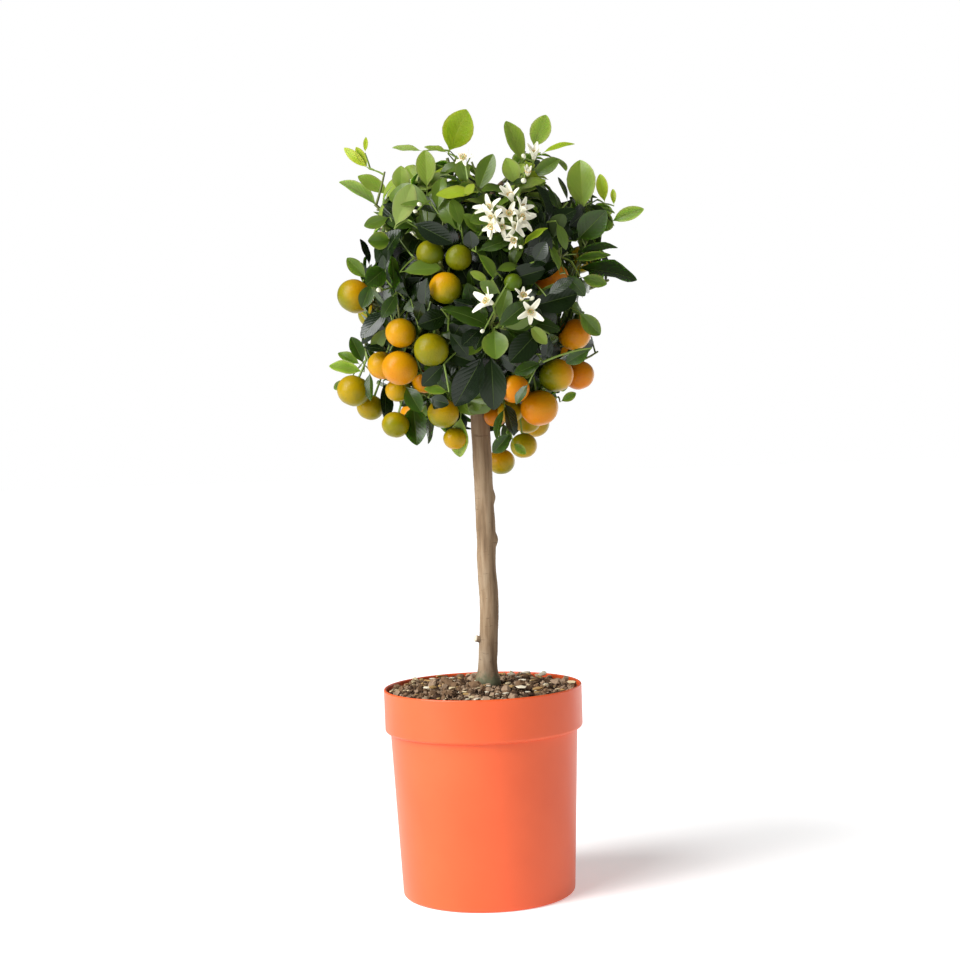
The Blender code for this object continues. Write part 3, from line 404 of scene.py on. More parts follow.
# Fruits: place, radius, ripeness at the middle and how much it changes from side to side
FRUITS = [
    (-0.110, -0.010, 0.583, 0.0174, 0.48, 0.24), (-0.064, -0.088, 0.542, 0.0143, 0.62, 0.06),
    (-0.066, -0.084, 0.510, 0.0168, 0.68, 0.10), (-0.036, -0.104, 0.525, 0.0160, 0.34, 0.08),
    (-0.034, -0.104, 0.612, 0.0128, 0.24, 0.14), (-0.008, -0.112, 0.607, 0.0122, 0.22, 0.08),
    (-0.021, -0.112, 0.580, 0.0150, 0.42, 0.26), (-0.084, -0.056, 0.514, 0.0138, 0.66, 0.10),
    (-0.114, -0.020, 0.492, 0.0160, 0.42, 0.10), (-0.100, 0.006, 0.476, 0.0134, 0.40, 0.10),
    (-0.074, -0.040, 0.458, 0.0132, 0.46, 0.10), (-0.028, -0.062, 0.467, 0.0148, 0.44, 0.22),
    (-0.018, -0.044, 0.443, 0.0112, 0.50, 0.10), (-0.071, -0.048, 0.490, 0.0112, 0.50, 0.10),
    (-0.045, -0.045, 0.498, 0.0120, 0.76, 0.10), (0.077, -0.084, 0.587, 0.0157, 0.88, 0.06),
    (0.098, -0.050, 0.537, 0.0156, 0.72, 0.12), (0.079, -0.062, 0.499, 0.0165, 0.44, 0.34),
    (0.102, -0.032, 0.499, 0.0146, 0.80, 0.10), (0.062, -0.066, 0.469, 0.0186, 0.75, 0.10),
    (0.039, -0.090, 0.487, 0.0138, 0.80, 0.08), (0.035, -0.048, 0.467, 0.0122, 0.50, 0.12),
    (0.052, -0.012, 0.458, 0.0134, 0.56, 0.10), (0.047, -0.036, 0.434, 0.0128, 0.42, 0.12),
    (0.026, 0.040, 0.418, 0.0136, 0.52, 0.22), (0.021, -0.018, 0.463, 0.0110, 0.80, 0.06),
    (0.040, -0.126, 0.582, 0.0081, 0.06, 0.06),
    (0.104, 0.060, 0.550, 0.0150, 0.70, 0.14), (0.060, 0.118, 0.580, 0.0160, 0.50, 0.24),
    (0.092, 0.098, 0.525, 0.0145, 0.74, 0.10), (0.062, 0.082, 0.455, 0.0150, 0.60, 0.16),
    (0.020, 0.086, 0.491, 0.0135, 0.36, 0.12), (-0.030, 0.112, 0.535, 0.0160, 0.66, 0.14),
    (-0.066, 0.118, 0.597, 0.0140, 0.28, 0.10), (-0.060, 0.094, 0.467, 0.0155, 0.74, 0.12),
    (-0.098, 0.068, 0.570, 0.0150, 0.58, 0.20), (-0.050, 0.072, 0.479, 0.0130, 0.48, 0.14),
    (0.112, 0.060, 0.617, 0.0145, 0.40, 0.20), (0.030, 0.110, 0.645, 0.0140, 0.62, 0.18),
]
HIDDEN_FRUITS = {7, 9, 13, 14, 15, 22, 25}
FRUIT_FLATNESS = 0.93
RIPENESS_COLOURS = [
    (0.00, (72, 98, 18)), (0.20, (92, 100, 4)), (0.38, (122, 116, 2)), (0.52, (162, 132, 2)),
    (0.66, (188, 134, 2)), (0.82, (194, 116, 2)), (1.00, (192, 94, 2)),
]
# Where a fruit is ripest, right, back and up
BLUSH = {
    0: (0.8, -0.3, 0.3), 6: (-0.5, -0.4, 0.7), 11: (0.3, -0.4, 0.8), 17: (1.0, -0.2, 0.2),
    24: (-0.2, -0.3, 0.9),
}
FRUIT_GAP = 0.0004
FRUIT_CLEARANCE = 0.0012
CALYX_CORNERS = 10
CALYX_RADII = (0.0034, 0.0018)
CALYX_LEVELS = (0.0006, -0.0004)
CALYX_SWELL = 0.0007

# Blossoms seen first: place in the picture, petal length in millimetres, how wide it opens
# in degrees, and where its mouth turns, right and up
SHOWN_BLOSSOMS = {
    "cluster_left": (494, 219, 19, 66, (-1.1, 0.1)),
    "cluster_left_upper": (490, 209, 17, 58, (-0.7, 0.7)),
    "cluster_left_low": (492, 226, 15, 62, (-0.9, -0.5)),
    "cluster_middle": (502, 227, 12, 74, (0.05, -0.3)),
    "cluster_inner": (509, 214, 14, 60, (0.1, 0.5)),
    "cluster_right": (519, 218, 20, 62, (1.1, 0.2)),
    "cluster_right_upper": (522, 209, 17, 58, (0.9, 0.7)),
    "cluster_right_low": (516, 226, 16, 60, (0.8, -0.6)),
    "cluster_top": (511, 197, 16, 36, (-0.35, 0.9)),
    "cluster_low": (514, 240, 11, 40, (-0.5, -0.6)),
    "upper_bell": (534, 155, 15, 32, (0.05, 1.0)),
    "upper_low": (528, 171, 9, 22, (0.1, 1.0)),
    "top_small": (463, 157, 11, 68, (-0.4, 0.5)),
    "middle_left": (489, 302, 20, 48, (-1.3, 0.45)),
    "middle_right": (530, 311, 17, 76, (0.2, -0.35)),
    "middle_top": (523, 296, 13, 50, (0.5, 0.8)),
}
BACK_BLOSSOMS = [
    (0.055, 0.112, 0.673, 0.013), (0.062, 0.104, 0.681, 0.012), (-0.062, 0.108, 0.645, 0.013),
    (-0.054, 0.114, 0.653, 0.011), (0.118, 0.060, 0.645, 0.012), (-0.082, 0.084, 0.655, 0.012),
    (0.010, 0.090, 0.701, 0.012),
]
# Buds: place in the picture and length in millimetres
BUDS = {
    "cluster": (519, 246, 5.0), "upper": (524, 181, 7.5), "upper_side": (525, 158, 6.0),
    "middle": (484, 330, 5.5), "right": (530, 300, 5.5), "left": (380, 291, 6.0),
    "left_high": (421, 205, 6.0), "left_high_side": (417, 211, 5.0), "top": (470, 158, 4.0),
    "middle_low": (507, 284, 0.5),
}
BUD_SHAPE = {0.0: 0.12, 0.15: 0.24, 0.4: 0.34, 0.7: 0.36, 0.9: 0.24, 1.0: 0.06}
# How many millimetres blossoms and buds stand in front of the face of the leaves
BLOSSOM_PROUD = 9
BUD_PROUD = 8

# A flower's parts
PETALS = 5
PETAL_ROWS = 6
PETAL_COLUMNS = (-1.0, -0.5, 0.0, 0.5, 1.0)
PETAL_WIDTH_SHARE = 0.165
PETAL_CUP = 0.40
PETAL_THICKNESS = 0.0005
THROAT_RADIUS = 0.0010
THROAT_ANGLE = math.radians(8)
STAMENS = 9
STAMEN_LEAN = 0.0022

# Light
AMBIENT = 0.18
FLOOR_GLOW = 0.34
SUN_POWER = 2.9
SUN_SPREAD = math.radians(40)
SUN_WAY = Vector((1.8, 1.2, -2.2))
# Each soft light's place, size and power, and what they all shine on
SOFT_LIGHTS = {
    "key": ((-1.7, -1.0, 1.0), 1.0, 30.0),
    "fill": ((1.8, -0.2, 0.6), 0.6, 2.0),
    "edge": ((1.3, 1.6, 0.5), 0.8, 5.0),
}
LIT_MIDDLE = Vector((0.0, 0.0, 0.40))


def rgb(colour):
    """A colour given out of 255 as the shader's linear red, green, blue and alpha."""
    linear = []
    for part in colour:
        share = part / 255
        linear.append(share / 12.92 if share <= 0.04045 else ((share + 0.055) / 1.055) ** 2.4)
    return (*linear, 1.0)


def blended(first, second, share):
    """A colour this share of the way from the first to the second."""
    return tuple(a + (b - a) * share for a, b in zip(first, second))


def leave_all():
    """Leave edit mode and select nothing."""
    if bpy.context.object and bpy.context.object.mode != "OBJECT":
        bpy.ops.object.mode_set(mode="OBJECT")
    bpy.ops.object.select_all(action="DESELECT")


def pick(piece):
    """Make a piece the only one selected."""
    leave_all()
    piece.select_set(True)
    bpy.context.view_layer.objects.active = piece


def edit_all(select_mode="VERT"):
    """Enter edit mode with everything selected."""
    bpy.ops.object.mode_set(mode="EDIT")
    bpy.ops.mesh.select_mode(type=select_mode)
    bpy.ops.mesh.select_all(action="SELECT")


def named(name):
    """Give the piece just made its name."""
    piece = bpy.context.object
    piece.name = name
    piece.data.name = name
    return piece


def dress(piece, slot, *materials, replaces=(), kinds=None):
    """Give a finished piece its materials, each face its kind, and its place on the body."""
    piece.data.materials.clear()
    for material in materials:
        piece.data.materials.append(material)
    if kinds:
        piece.data.polygons.foreach_set("material_index", kinds)
    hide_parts(*replaces)
    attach(piece, "root")


def dress_crown(piece, slot, degrees, *materials, kinds=None):
    """Shade a piece of the crown smooth and let it stand for the masses."""
    smooth(piece, degrees)
    dress(piece, slot, *materials, replaces=MASS_NODES, kinds=kinds)


def new_piece(name, points, faces):
    """A piece of these points and faces."""
    mesh = bpy.data.meshes.new(name)
    mesh.from_pydata(points, [], faces)
    piece = bpy.data.objects.new(name, mesh)
    bpy.context.scene.collection.objects.link(piece)
    return piece


def taken_as_model():
    """The active piece's points and faces, for copies of it; the piece itself goes."""
    piece = bpy.context.object
    points = np.array([vert.co for vert in piece.data.vertices])
    faces = [list(face.vertices) for face in piece.data.polygons]
    bpy.data.objects.remove(piece)
    return points, faces


class Heap:
    """Copies of small shapes, gathered to be one joined piece."""

    def __init__(self):
        self.points = []
        self.faces = []

    def add(self, points, faces):
        """Add one more shape."""
        start = len(self.points)
        self.points += points
        self.faces += [[start + corner for corner in face] for face in faces]

    def joined(self, name):
        """The gathered shapes as one piece."""
        return new_piece(name, self.points, self.faces)


def smooth(piece, degrees):
    """Shade a piece smooth up to its sharp edges."""
    pick(piece)
    bpy.ops.object.shade_smooth_by_angle(angle=math.radians(degrees))


def apply_modifier(kind, **settings):
    """Add a modifier to the active piece and apply it."""
    piece = bpy.context.object
    modifier = piece.modifiers.new(kind.lower(), kind)
    for key, value in settings.items():
        setattr(modifier, key, value)
    bpy.ops.object.modifier_apply(modifier=modifier.name)


def relief(piece, strength, grain, stretch=1.0):
    """Raise and sink a piece's surface by noise, drawn out along Z by the stretch."""
    pattern = bpy.data.textures.new(piece.name + "_relief", "CLOUDS")
    pattern.noise_scale = grain
    bpy.ops.object.empty_add()
    holder = bpy.context.object
    holder.scale = (1.0, 1.0, stretch)
    bpy.context.view_layer.update()
    pick(piece)
    apply_modifier(
        "DISPLACE", texture=pattern, strength=strength, mid_level=0.5,
        texture_coords="OBJECT", texture_coords_object=holder)
    bpy.data.objects.remove(holder)


# Materials


class Finish:
    """A Principled material and the nodes that feed it."""

    def __init__(self, name, colour, roughness, specular=0.5):
        self.material = bpy.data.materials.new(name)
        self.material.use_nodes = True
        self.tree = self.material.node_tree
        self.shader = self.tree.nodes["Principled BSDF"]
        self.shader.inputs["Base Color"].default_value = rgb(colour)
        self.shader.inputs["Roughness"].default_value = roughness
        self.shader.inputs["Specular IOR Level"].default_value = specular

    def node(self, kind, settings=None, **inputs):
        """A new node with its settings and the values or links of its inputs."""
        node = self.tree.nodes.new("ShaderNode" + kind)
        for key, value in (settings or {}).items():
            setattr(node, key, value)
        for key, value in inputs.items():
            self.feed(node, key.replace("_", " "), value)
        return node

    def feed(self, node, socket, value):
        """Set an input to a value, or link it from another node's output."""
        if isinstance(value, bpy.types.NodeSocket):
            self.tree.links.new(value, node.inputs[socket])
        else:
            node.inputs[socket].default_value = value

    def place(self, stretch=(1.0, 1.0, 1.0), source="Object"):
        """The piece's own coordinates, with each axis scaled."""
        spot = self.node("TexCoord").outputs[source]
        return self.node("Mapping", Vector=spot, Scale=stretch).outputs["Vector"]

    def grain(self, scale, stretch=(1.0, 1.0, 1.0), detail=4.0):
        """Noise over the piece, from 0 to 1."""
        return self.node(
            "TexNoise", Vector=self.place(stretch), Scale=scale, Detail=detail,
            Roughness=0.55).outputs["Fac"]

    def ramp(self, factor, *stops):
        """Colours or greys dealt out by a factor; a stop is its place and its colour or grey."""
        node = self.node("ValToRGB", Fac=factor)
        points = node.color_ramp.elements
        while len(points) < len(stops):
            points.new(1.0)
        for point, (place, colour) in zip(points, stops):
            point.position = place
            point.color = rgb(colour) if isinstance(colour, tuple) else (colour, colour, colour, 1.0)
        return node.outputs["Color"]

    def mix(self, factor, first, second):
        """One colour laid over another by a factor."""
        node = self.node("Mix", {"data_type": "RGBA"}, Factor=factor)
        for slot, colour in ((6, first), (7, second)):
            self.feed(node, slot, rgb(colour) if isinstance(colour, tuple) else colour)
        return node.outputs[2]

    def maths(self, operation, first, second=0.0, clamp=False):
        """The result of a sum on two values or links."""
        node = self.node("Math", {"operation": operation, "use_clamp": clamp})
        self.feed(node, 0, first)
        self.feed(node, 1, second)
        return node.outputs[0]

    def bump(self, height, depth, strength=1.0):
        """Raise the surface by a height from 0 to 1 over a depth in metres."""
        last = self.shader.inputs["Normal"]
        node = self.node("Bump", Height=height, Distance=depth, Strength=strength)
        if last.is_linked:
            self.tree.links.new(last.links[0].from_socket, node.inputs["Normal"])
        self.tree.links.new(node.outputs["Normal"], last)

    def colour_from(self, colour):
        """Feed the base colour from a link."""
        self.tree.links.new(colour, self.shader.inputs["Base Color"])

    def roughness_from(self, factor, low, high):
        """Let the roughness wander between two values."""
        node = self.node("MapRange", Value=factor, To_Min=low, To_Max=high)
        self.tree.links.new(node.outputs["Result"], self.shader.inputs["Roughness"])


def pot_finish():
    """Moulded orange plastic: smooth and glossy, with faint clouding and fine scuffs."""
    skin = Finish("pot_plastic", (226, 90, 40), 0.38, specular=0.5)
    clouding = skin.grain(14, detail=3)
    skin.colour_from(skin.ramp(clouding, (0.30, (223, 87, 37)), (0.70, (229, 93, 42))))
    skin.roughness_from(skin.grain(60, (1, 1, 0.2)), 0.34, 0.43)
    skin.bump(skin.grain(38, detail=2), 0.00012)
    skin.bump(skin.grain(900, detail=1), 0.00002)
    return skin.material


def soil_finish():
    """Damp dark peat between the crumbs."""
    peat = Finish("soil_peat", (66, 48, 36), 0.92, specular=0.2)
    peat.colour_from(peat.ramp(peat.grain(320), (0.30, (34, 24, 18)), (0.62, (92, 70, 54))))
    peat.bump(peat.grain(700, detail=5), 0.0012)
    return peat.material


def crumb_finish(name, colour):
    """A crumb of soil in one plain colour with a rough skin."""
    crumb = Finish(name, colour, 0.9, specular=0.2)
    crumb.bump(crumb.grain(900, detail=4), 0.0006)
    return crumb.material


def bark_finish():
    """Smooth grey-brown bark with upright streaks, fine cross marks, a mossy foot, and a darker, browner
    top where it runs up under the crown, partly painted shade.
    """
    bark = Finish("trunk_bark", (160, 132, 104), 0.85, specular=0.25)
    streaks = bark.grain(170, (1, 1, 0.10), detail=5)
    tone = bark.ramp(streaks, (0.28, (98, 78, 58)), (0.50, (136, 113, 87)), (0.74, (166, 144, 117)))
    patches = bark.ramp(bark.grain(34, (1, 1, 0.45)), (0.52, 0.0), (0.72, 0.65))
    tone = bark.mix(patches, tone, (178, 162, 140))
    marks = bark.ramp(bark.grain(260, (0.32, 0.32, 1.5), detail=2), (0.64, 0.0), (0.72, 0.55))
    tone = bark.mix(marks, tone, (86, 64, 48))
    height = bark.node("SeparateXYZ", Vector=bark.place()).outputs["Z"]
    # Browner and darker up under the crown: the bark's own browner top, with painted shade of the crown
    # over it
    browner_shaded_top = bark.node("MapRange", Value=height, From_Min=0.405, From_Max=0.505).outputs["Result"]
    tone = bark.mix(bark.maths("MULTIPLY", browner_shaded_top, 0.75), tone, (104, 78, 58))
    ragged = bark.maths("MULTIPLY", bark.grain(240, detail=3), 0.020)
    near_foot = bark.node(
        "MapRange", Value=bark.maths("ADD", height, ragged), From_Min=0.218, From_Max=0.226,
        To_Min=0.85, To_Max=0.0).outputs["Result"]
    tone = bark.mix(near_foot, tone, (92, 98, 74))
    bark.colour_from(tone)
    bark.bump(streaks, 0.0008)
    bark.bump(bark.grain(900, (1, 1, 0.5), detail=4), 0.0003)
    return bark.material


def limb_finish(name, colour, dark):
    """Young bark of boughs and twigs, with fine streaks."""
    limb = Finish(name, colour, 0.7, specular=0.3)
    streaks = limb.grain(600, (1, 1, 0.35), detail=3)
    limb.colour_from(limb.ramp(streaks, (0.30, dark), (0.62, colour)))
    limb.bump(streaks, 0.0003)
    return limb.material


def twig_finish(name, colour):
    """The smooth skin of a green twig in one plain colour."""
    twig = Finish(name, colour, 0.5, specular=0.4)
    twig.bump(twig.grain(900, detail=2), 0.0002)
    return twig.material


def leaf_finish(name, colour, roughness, specular, glow, veined=True):
    """A leathery leaf in one plain colour; side veins run out from its rib to its margin."""
    leaf = Finish(name, colour, roughness, specular)
    leaf.shader.inputs["Subsurface Weight"].default_value = glow
    leaf.shader.inputs["Subsurface Radius"].default_value = GLOW_COLOURING
    leaf.shader.inputs["Subsurface Scale"].default_value = GLOW_DEPTH
    leaf.bump(leaf.grain(70, detail=1), 0.0012, 0.4)
    if not veined:
        return leaf.material
    spot = leaf.node("SeparateXYZ", Vector=leaf.place(source="UV"))
    out = leaf.maths("ABSOLUTE", leaf.maths("SUBTRACT", spot.outputs["X"], 0.5))
    along = leaf.maths("MULTIPLY", spot.outputs["Y"], SIDE_VEINS)
    run = leaf.maths("SUBTRACT", along, leaf.maths("MULTIPLY", out, VEIN_SLANT))
    wave = leaf.maths("SINE", leaf.maths("MULTIPLY", run, math.pi))
    leaf.bump(leaf.maths("POWER", leaf.maths("ABSOLUTE", wave), 0.4), 0.0004, 0.22)
    return leaf.material


def peel_finish():
    """Citrus peel, coloured by each fruit's own ripeness, with oil pits and a soft shine."""
    peel = Finish("fruit_peel", (206, 130, 4), 0.30, specular=0.18)
    ripeness = peel.node("Attribute", {"attribute_name": "ripeness"}).outputs["Fac"]
    wander = peel.maths("MULTIPLY", peel.maths("SUBTRACT", peel.grain(110, detail=3), 0.5), 0.16)
    tone = peel.ramp(peel.maths("ADD", ripeness, wander, clamp=True), *RIPENESS_COLOURS)
    pits = peel.node(
        "TexVoronoi", {"feature": "SMOOTH_F1"}, Vector=peel.place(), Scale=750.0).outputs["Distance"]
    depth = peel.ramp(pits, (0.0, 0.0), (0.5, 1.0))
    peel.colour_from(peel.mix(peel.ramp(pits, (0.05, 0.16), (0.30, 0.0)), tone, (120, 92, 12)))
    peel.bump(depth, 0.00022, 0.7)
    peel.bump(peel.grain(60, detail=1), 0.0006, 0.5)
    return peel.material


def petal_finish(name, colour):
    """A waxy petal in one plain colour with a fine grain."""
    petal = Finish(name, colour, 0.55, specular=0.35)
    petal.bump(petal.grain(900, detail=2), 0.0002, 0.6)
    return petal.material


def floor_finish():
    """The plain pale floor, which glows a little so that it stays white."""
    floor = Finish("floor_paper", (250, 250, 250), 0.9, specular=0.1)
    floor.shader.inputs["Emission Color"].default_value = rgb((255, 255, 255))
    floor.shader.inputs["Emission Strength"].default_value = FLOOR_GLOW
    return floor.material


# Pot, soil and trunk


def corner_arc(centre, radius, start, stop, steps):
    """Points of an arc in the outline's plane, angles in degrees from +X."""
    points = []
    for i in range(steps + 1):
        angle = math.radians(start + (stop - start) * i / steps)
        points.append((centre[0] + radius * math.cos(angle), centre[1] + radius * math.sin(angle)))
    return points


def wall_radius(height):
    """The pot's outer radius below its collar."""
    top = POT_HEIGHT - COLLAR_HEIGHT
    top_radius = RIM_RADIUS - COLLAR_DRAFT - COLLAR_STEP
    return BASE_RADIUS + (top_radius - BASE_RADIUS) * height / top


def pot_outline():
    """The pot's wall from under its foot, up outside, over the rim and down inside to the floor."""
    collar_foot = POT_HEIGHT - COLLAR_HEIGHT
    collar_radius = RIM_RADIUS - COLLAR_DRAFT
    lip = POT_WALL / 2
    foot = wall_radius(FOOT_ROUNDING) - FOOT_ROUNDING
    outline = corner_arc((foot, FOOT_ROUNDING), FOOT_ROUNDING, -90, 0, 6)
    outline += [(wall_radius(collar_foot * share), collar_foot * share) for share in (0.25, 0.5, 0.75)]
    neck = wall_radius(collar_foot)
    under_collar = (neck + NECK_ROUNDING, collar_foot - NECK_ROUNDING)
    outline += corner_arc(under_collar, NECK_ROUNDING, 180, 90, 3)
    edge = (collar_radius - COLLAR_ROUNDING, collar_foot + COLLAR_ROUNDING)
    outline += corner_arc(edge, COLLAR_ROUNDING, -70, 0, 6)
    outline += corner_arc((RIM_RADIUS - lip, POT_HEIGHT - lip), lip, 0, 180, 8)
    outline.append((collar_radius - POT_WALL, collar_foot + 2 * POT_WALL))
    outline.append((neck - POT_WALL, collar_foot + POT_WALL))
    outline.append((wall_radius(POT_FLOOR) - POT_WALL, POT_FLOOR))
    return outline


def on_axis(height):
    """The point of the pot's axis at a height."""
    return Vector((0.0, 0.0, height))


def walk_rings(name, rings, sides):
    """A closed round piece: a capped ring extruded through each centre and radius in turn."""
    leave_all()
    (centre, radius), *others = rings
    bpy.ops.mesh.primitive_circle_add(vertices=sides, radius=radius, fill_type="NGON")
    piece = named(name)
    edit_all("FACE")
    bpy.ops.transform.translate(value=centre)
    for next_centre, next_radius in others:
        bpy.ops.mesh.extrude_region_move(TRANSFORM_OT_translate={"value": next_centre - centre})
        growth = next_radius / radius
        bpy.ops.transform.resize(value=(growth, growth, growth), center_override=next_centre)
        centre, radius = next_centre, next_radius
    bpy.ops.mesh.select_all(action="SELECT")
    bpy.ops.mesh.normals_make_consistent(inside=False)
    bpy.ops.object.mode_set(mode="OBJECT")
    return piece


def make_pot():
    """The tapered pot with its tall collar."""
    rings = [(on_axis(height), radius) for radius, height in pot_outline()]
    pot = walk_rings("pot_shell", rings, POT_SIDES)
    smooth(pot, 35)
    apply_modifier("WEIGHTED_NORMAL", keep_sharp=True)
    dress(pot, "pot", pot_finish(), replaces=["pot"])


def soil_height(radius):
    """The height of the soil's low mound at a distance from the pot's axis."""
    share = max(0.0, radius - SOIL_CROWN_RADIUS) / (SOIL_RADIUS - SOIL_CROWN_RADIUS)
    return SOIL_TOP - SOIL_EDGE_DROP * share ** 1.5


def make_soil():
    """The mound of peat that the crumbs lie on, closed below by the pot's floor."""
    floor = POT_FLOOR + GAP
    collar_foot = POT_HEIGHT - COLLAR_HEIGHT
    rings = [
        (on_axis(floor), wall_radius(floor) - POT_WALL - GAP),
        (on_axis(collar_foot + POT_WALL), wall_radius(collar_foot) - POT_WALL - GAP),
        (on_axis(collar_foot + 2 * POT_WALL + GAP), SOIL_RADIUS - GAP)]
    for i in range(SOIL_RINGS):
        radius = SOIL_RADIUS * (1 - i / SOIL_RINGS) - GAP
        rings.append((on_axis(soil_height(radius) - SOIL_SUNK), radius))
    soil = walk_rings("soil_mound", rings, SOIL_SIDES)
    pick(soil)
    bpy.ops.object.vertex_group_add()
    top = [v.index for v in soil.data.vertices if v.co.z > POT_HEIGHT - SOIL_EDGE_DROP - 0.003]
    soil.vertex_groups[0].add(top, 1.0, "REPLACE")
    for size, depth in SOIL_WAVES.items():
        pattern = bpy.data.textures.new("soil_lumps", "CLOUDS")
        pattern.noise_scale = size
        apply_modifier(
            "DISPLACE", texture=pattern, strength=depth, mid_level=0.5, direction="Z",
            texture_coords="LOCAL", vertex_group=soil.vertex_groups[0].name)
    smooth(soil, 50)
    dress(soil, "soil", soil_finish(), replaces=["soil"])


def lump_model(seed, fineness):
    """One rough lump of unit size: a globe of triangles with its corners pushed in and out."""
    leave_all()
    bpy.ops.mesh.primitive_ico_sphere_add(subdivisions=fineness, radius=1.0)
    draw = random.Random(seed)
    for vert in bpy.context.object.data.vertices:
        vert.co *= draw.uniform(0.66, 1.22)
    return taken_as_model()


def lay_crumbs(name, cover, colours):
    """Scatter lumps over the mound as one joined piece, in a few plain colours."""
    draw = random.Random(cover["seed"])
    models = [lump_model(cover["seed"] + i, cover["fineness"]) for i in range(LUMP_SHAPES)]
    small, usual, large = cover["sizes"]
    flatness = cover["flatness"]
    is_chip = flatness < CHIP_FLATNESS
    heap = Heap()
    kinds = []
    for _ in range(cover["count"]):
        points, faces = models[draw.randrange(LUMP_SHAPES)]
        size = draw.uniform(small, usual) if draw.random() < SMALL_SHARE else draw.uniform(usual, large)
        radius = (SOIL_RADIUS - size) * math.sqrt(draw.random())
        angle = draw.uniform(0, math.tau)
        turn = Quaternion([draw.gauss(0, 1) for _ in range(4)]).normalized().to_matrix()
        if is_chip:
            tilt = Matrix.Rotation(draw.uniform(-0.5, 0.5), 3, "X")
            turn = Matrix.Rotation(angle * 7, 3, "Z") @ tilt
        slimness = draw.uniform(0.6, 1.0) * (CHIP_SLIMNESS if is_chip else 1.0)
        scale = np.array((1.0, slimness, draw.uniform(flatness, 1.2 * flatness))) * size
        height = soil_height(radius) + cover["lift"] * size
        spot = np.array((radius * math.cos(angle), radius * math.sin(angle), height))
        if math.hypot(spot[0] - trunk_point(SOIL_TOP).x, spot[1]) < FLARE_RADIUS + 0.4 * size:
            continue
        heap.add(((points * scale) @ np.array(turn).T + spot).tolist(), faces)
        kinds += [draw.randrange(len(colours))] * len(faces)
    piece = heap.joined(name)
    dress(piece, "soil", *colours, replaces=["soil"], kinds=kinds)
    smooth(piece, 34)


def make_soil_cover():
    """Brown crumbs and clods and pale chips of wood."""
    browns = [crumb_finish(name, colour) for name, colour in BROWNS.items()]
    pales = [crumb_finish(name, colour) for name, colour in PALES.items()]
    lay_crumbs("soil_crumbs", CRUMBS, browns)
    lay_crumbs("soil_clods", CLODS, browns)
    lay_crumbs("soil_chips", CHIPS, pales)


def trunk_point(height):
    """The trunk's centre line at a height."""
    heights = sorted(TRUNK_LINE)
    for low, high in zip(heights, heights[1:]):
        if height <= high:
            share = (height - low) / (high - low)
            return Vector((TRUNK_LINE[low] + share * (TRUNK_LINE[high] - TRUNK_LINE[low]), 0.0, height))
    return Vector((TRUNK_LINE[heights[-1]], 0.0, height))


def trunk_radius(height):
    """Nearly even up to the fork with a flare at the soil, then a steady taper to the tip."""
    foot = (height - POT_HEIGHT) / FLARE_HEIGHT
    flare = (FLARE_RADIUS - TRUNK_RADIUS) * math.exp(-2.2 * foot * foot)
    past_fork = max(0.0, height - FORK_HEIGHT) / (max(TRUNK_LINE) - FORK_HEIGHT)
    return TRUNK_RADIUS + flare - (TRUNK_RADIUS - TRUNK_TIP_RADIUS) * past_fork


def eased_trunk_point(height):
    """The centre line with its corners eased over two centimetres, straight below the soil."""
    level = max(height, POT_HEIGHT)
    near = [trunk_point(min(max(level + shift, POT_HEIGHT), EASED_TOP)).x for shift in TRUNK_EASING]
    return Vector((sum(near) / len(near), 0.0, height))


def make_trunk():
    """The trunk with the relief of its bark, two knobs, the start of its roots and a stub."""
    foot = POT_HEIGHT - TRUNK_BURIED
    count = int((max(TRUNK_LINE) - foot) / TRUNK_RING_STEP)
    rings = []
    for i in range(count + 1):
        height = foot + (max(TRUNK_LINE) - foot) * i / count
        swell = 1 + 0.014 * math.sin(height * 93) + 0.010 * math.sin(height * 211 + 1)
        rings.append((eased_trunk_point(height), trunk_radius(max(height, POT_HEIGHT)) * swell))
    trunk = walk_rings("trunk_bark", rings, TRUNK_SIDES)
    for height, rise in KNOBS.items():
        knob = trunk_point(height) + Vector((TRUNK_RADIUS, -0.002, 0.0))
        push_out(trunk, knob, Vector((rise, -0.2 * rise, 0.0)), KNOB_REACH)
    for degrees in ROOT_ANGLES:
        angle = math.radians(degrees)
        way = Vector((math.cos(angle), math.sin(angle), 0.0))
        push_out(trunk, trunk_point(POT_HEIGHT) + way * FLARE_RADIUS, way * ROOT_RISE, ROOT_REACH)
    relief(trunk, 0.0009, 0.007, stretch=4)
    relief(trunk, 0.0005, 0.0022, stretch=2)
    stub = make_stub()
    smooth(trunk, 60)
    dress(trunk, "bark", bark_finish(), replaces=["trunk"])
    cut_from = trunk_point(STUB_HEIGHT).x - 0.85 * STUB_LENGTH
    kinds = [int(face.center.x < cut_from) for face in stub.data.polygons]
    cut_wood = Finish("cut_wood", (214, 202, 180), 0.8).material
    dress(stub, "bark", bark_finish(), cut_wood, replaces=["trunk"], kinds=kinds)


def push_out(piece, spot, move, reach):
    """Pull the surface near a spot outwards, with a soft edge."""
    pick(piece)
    nearest = min(piece.data.vertices, key=lambda vert: (vert.co - spot).length).index
    edit_all()
    bpy.ops.mesh.select_all(action="DESELECT")
    bpy.ops.object.mode_set(mode="OBJECT")
    piece.data.vertices[nearest].select = True
    bpy.ops.object.mode_set(mode="EDIT")
    bpy.ops.transform.translate(
        value=move, use_proportional_edit=True, proportional_edit_falloff="SMOOTH", proportional_size=reach)
    bpy.ops.object.mode_set(mode="OBJECT")


def make_stub():
    """The stub of a pruned shoot on the trunk's left; make_trunk gives its cut end the pale wood."""
    root = trunk_point(STUB_HEIGHT)
    tip = root + Vector((-STUB_LENGTH, -0.0035, 0.0030))
    path = [root.lerp(tip, share) for share in STUB_SHAPE]
    stub = tubes("trunk_stub", [(path, [STUB_RADIUS * width for width in STUB_SHAPE.values()])], 4)
    smooth(stub, 60)
    return stub


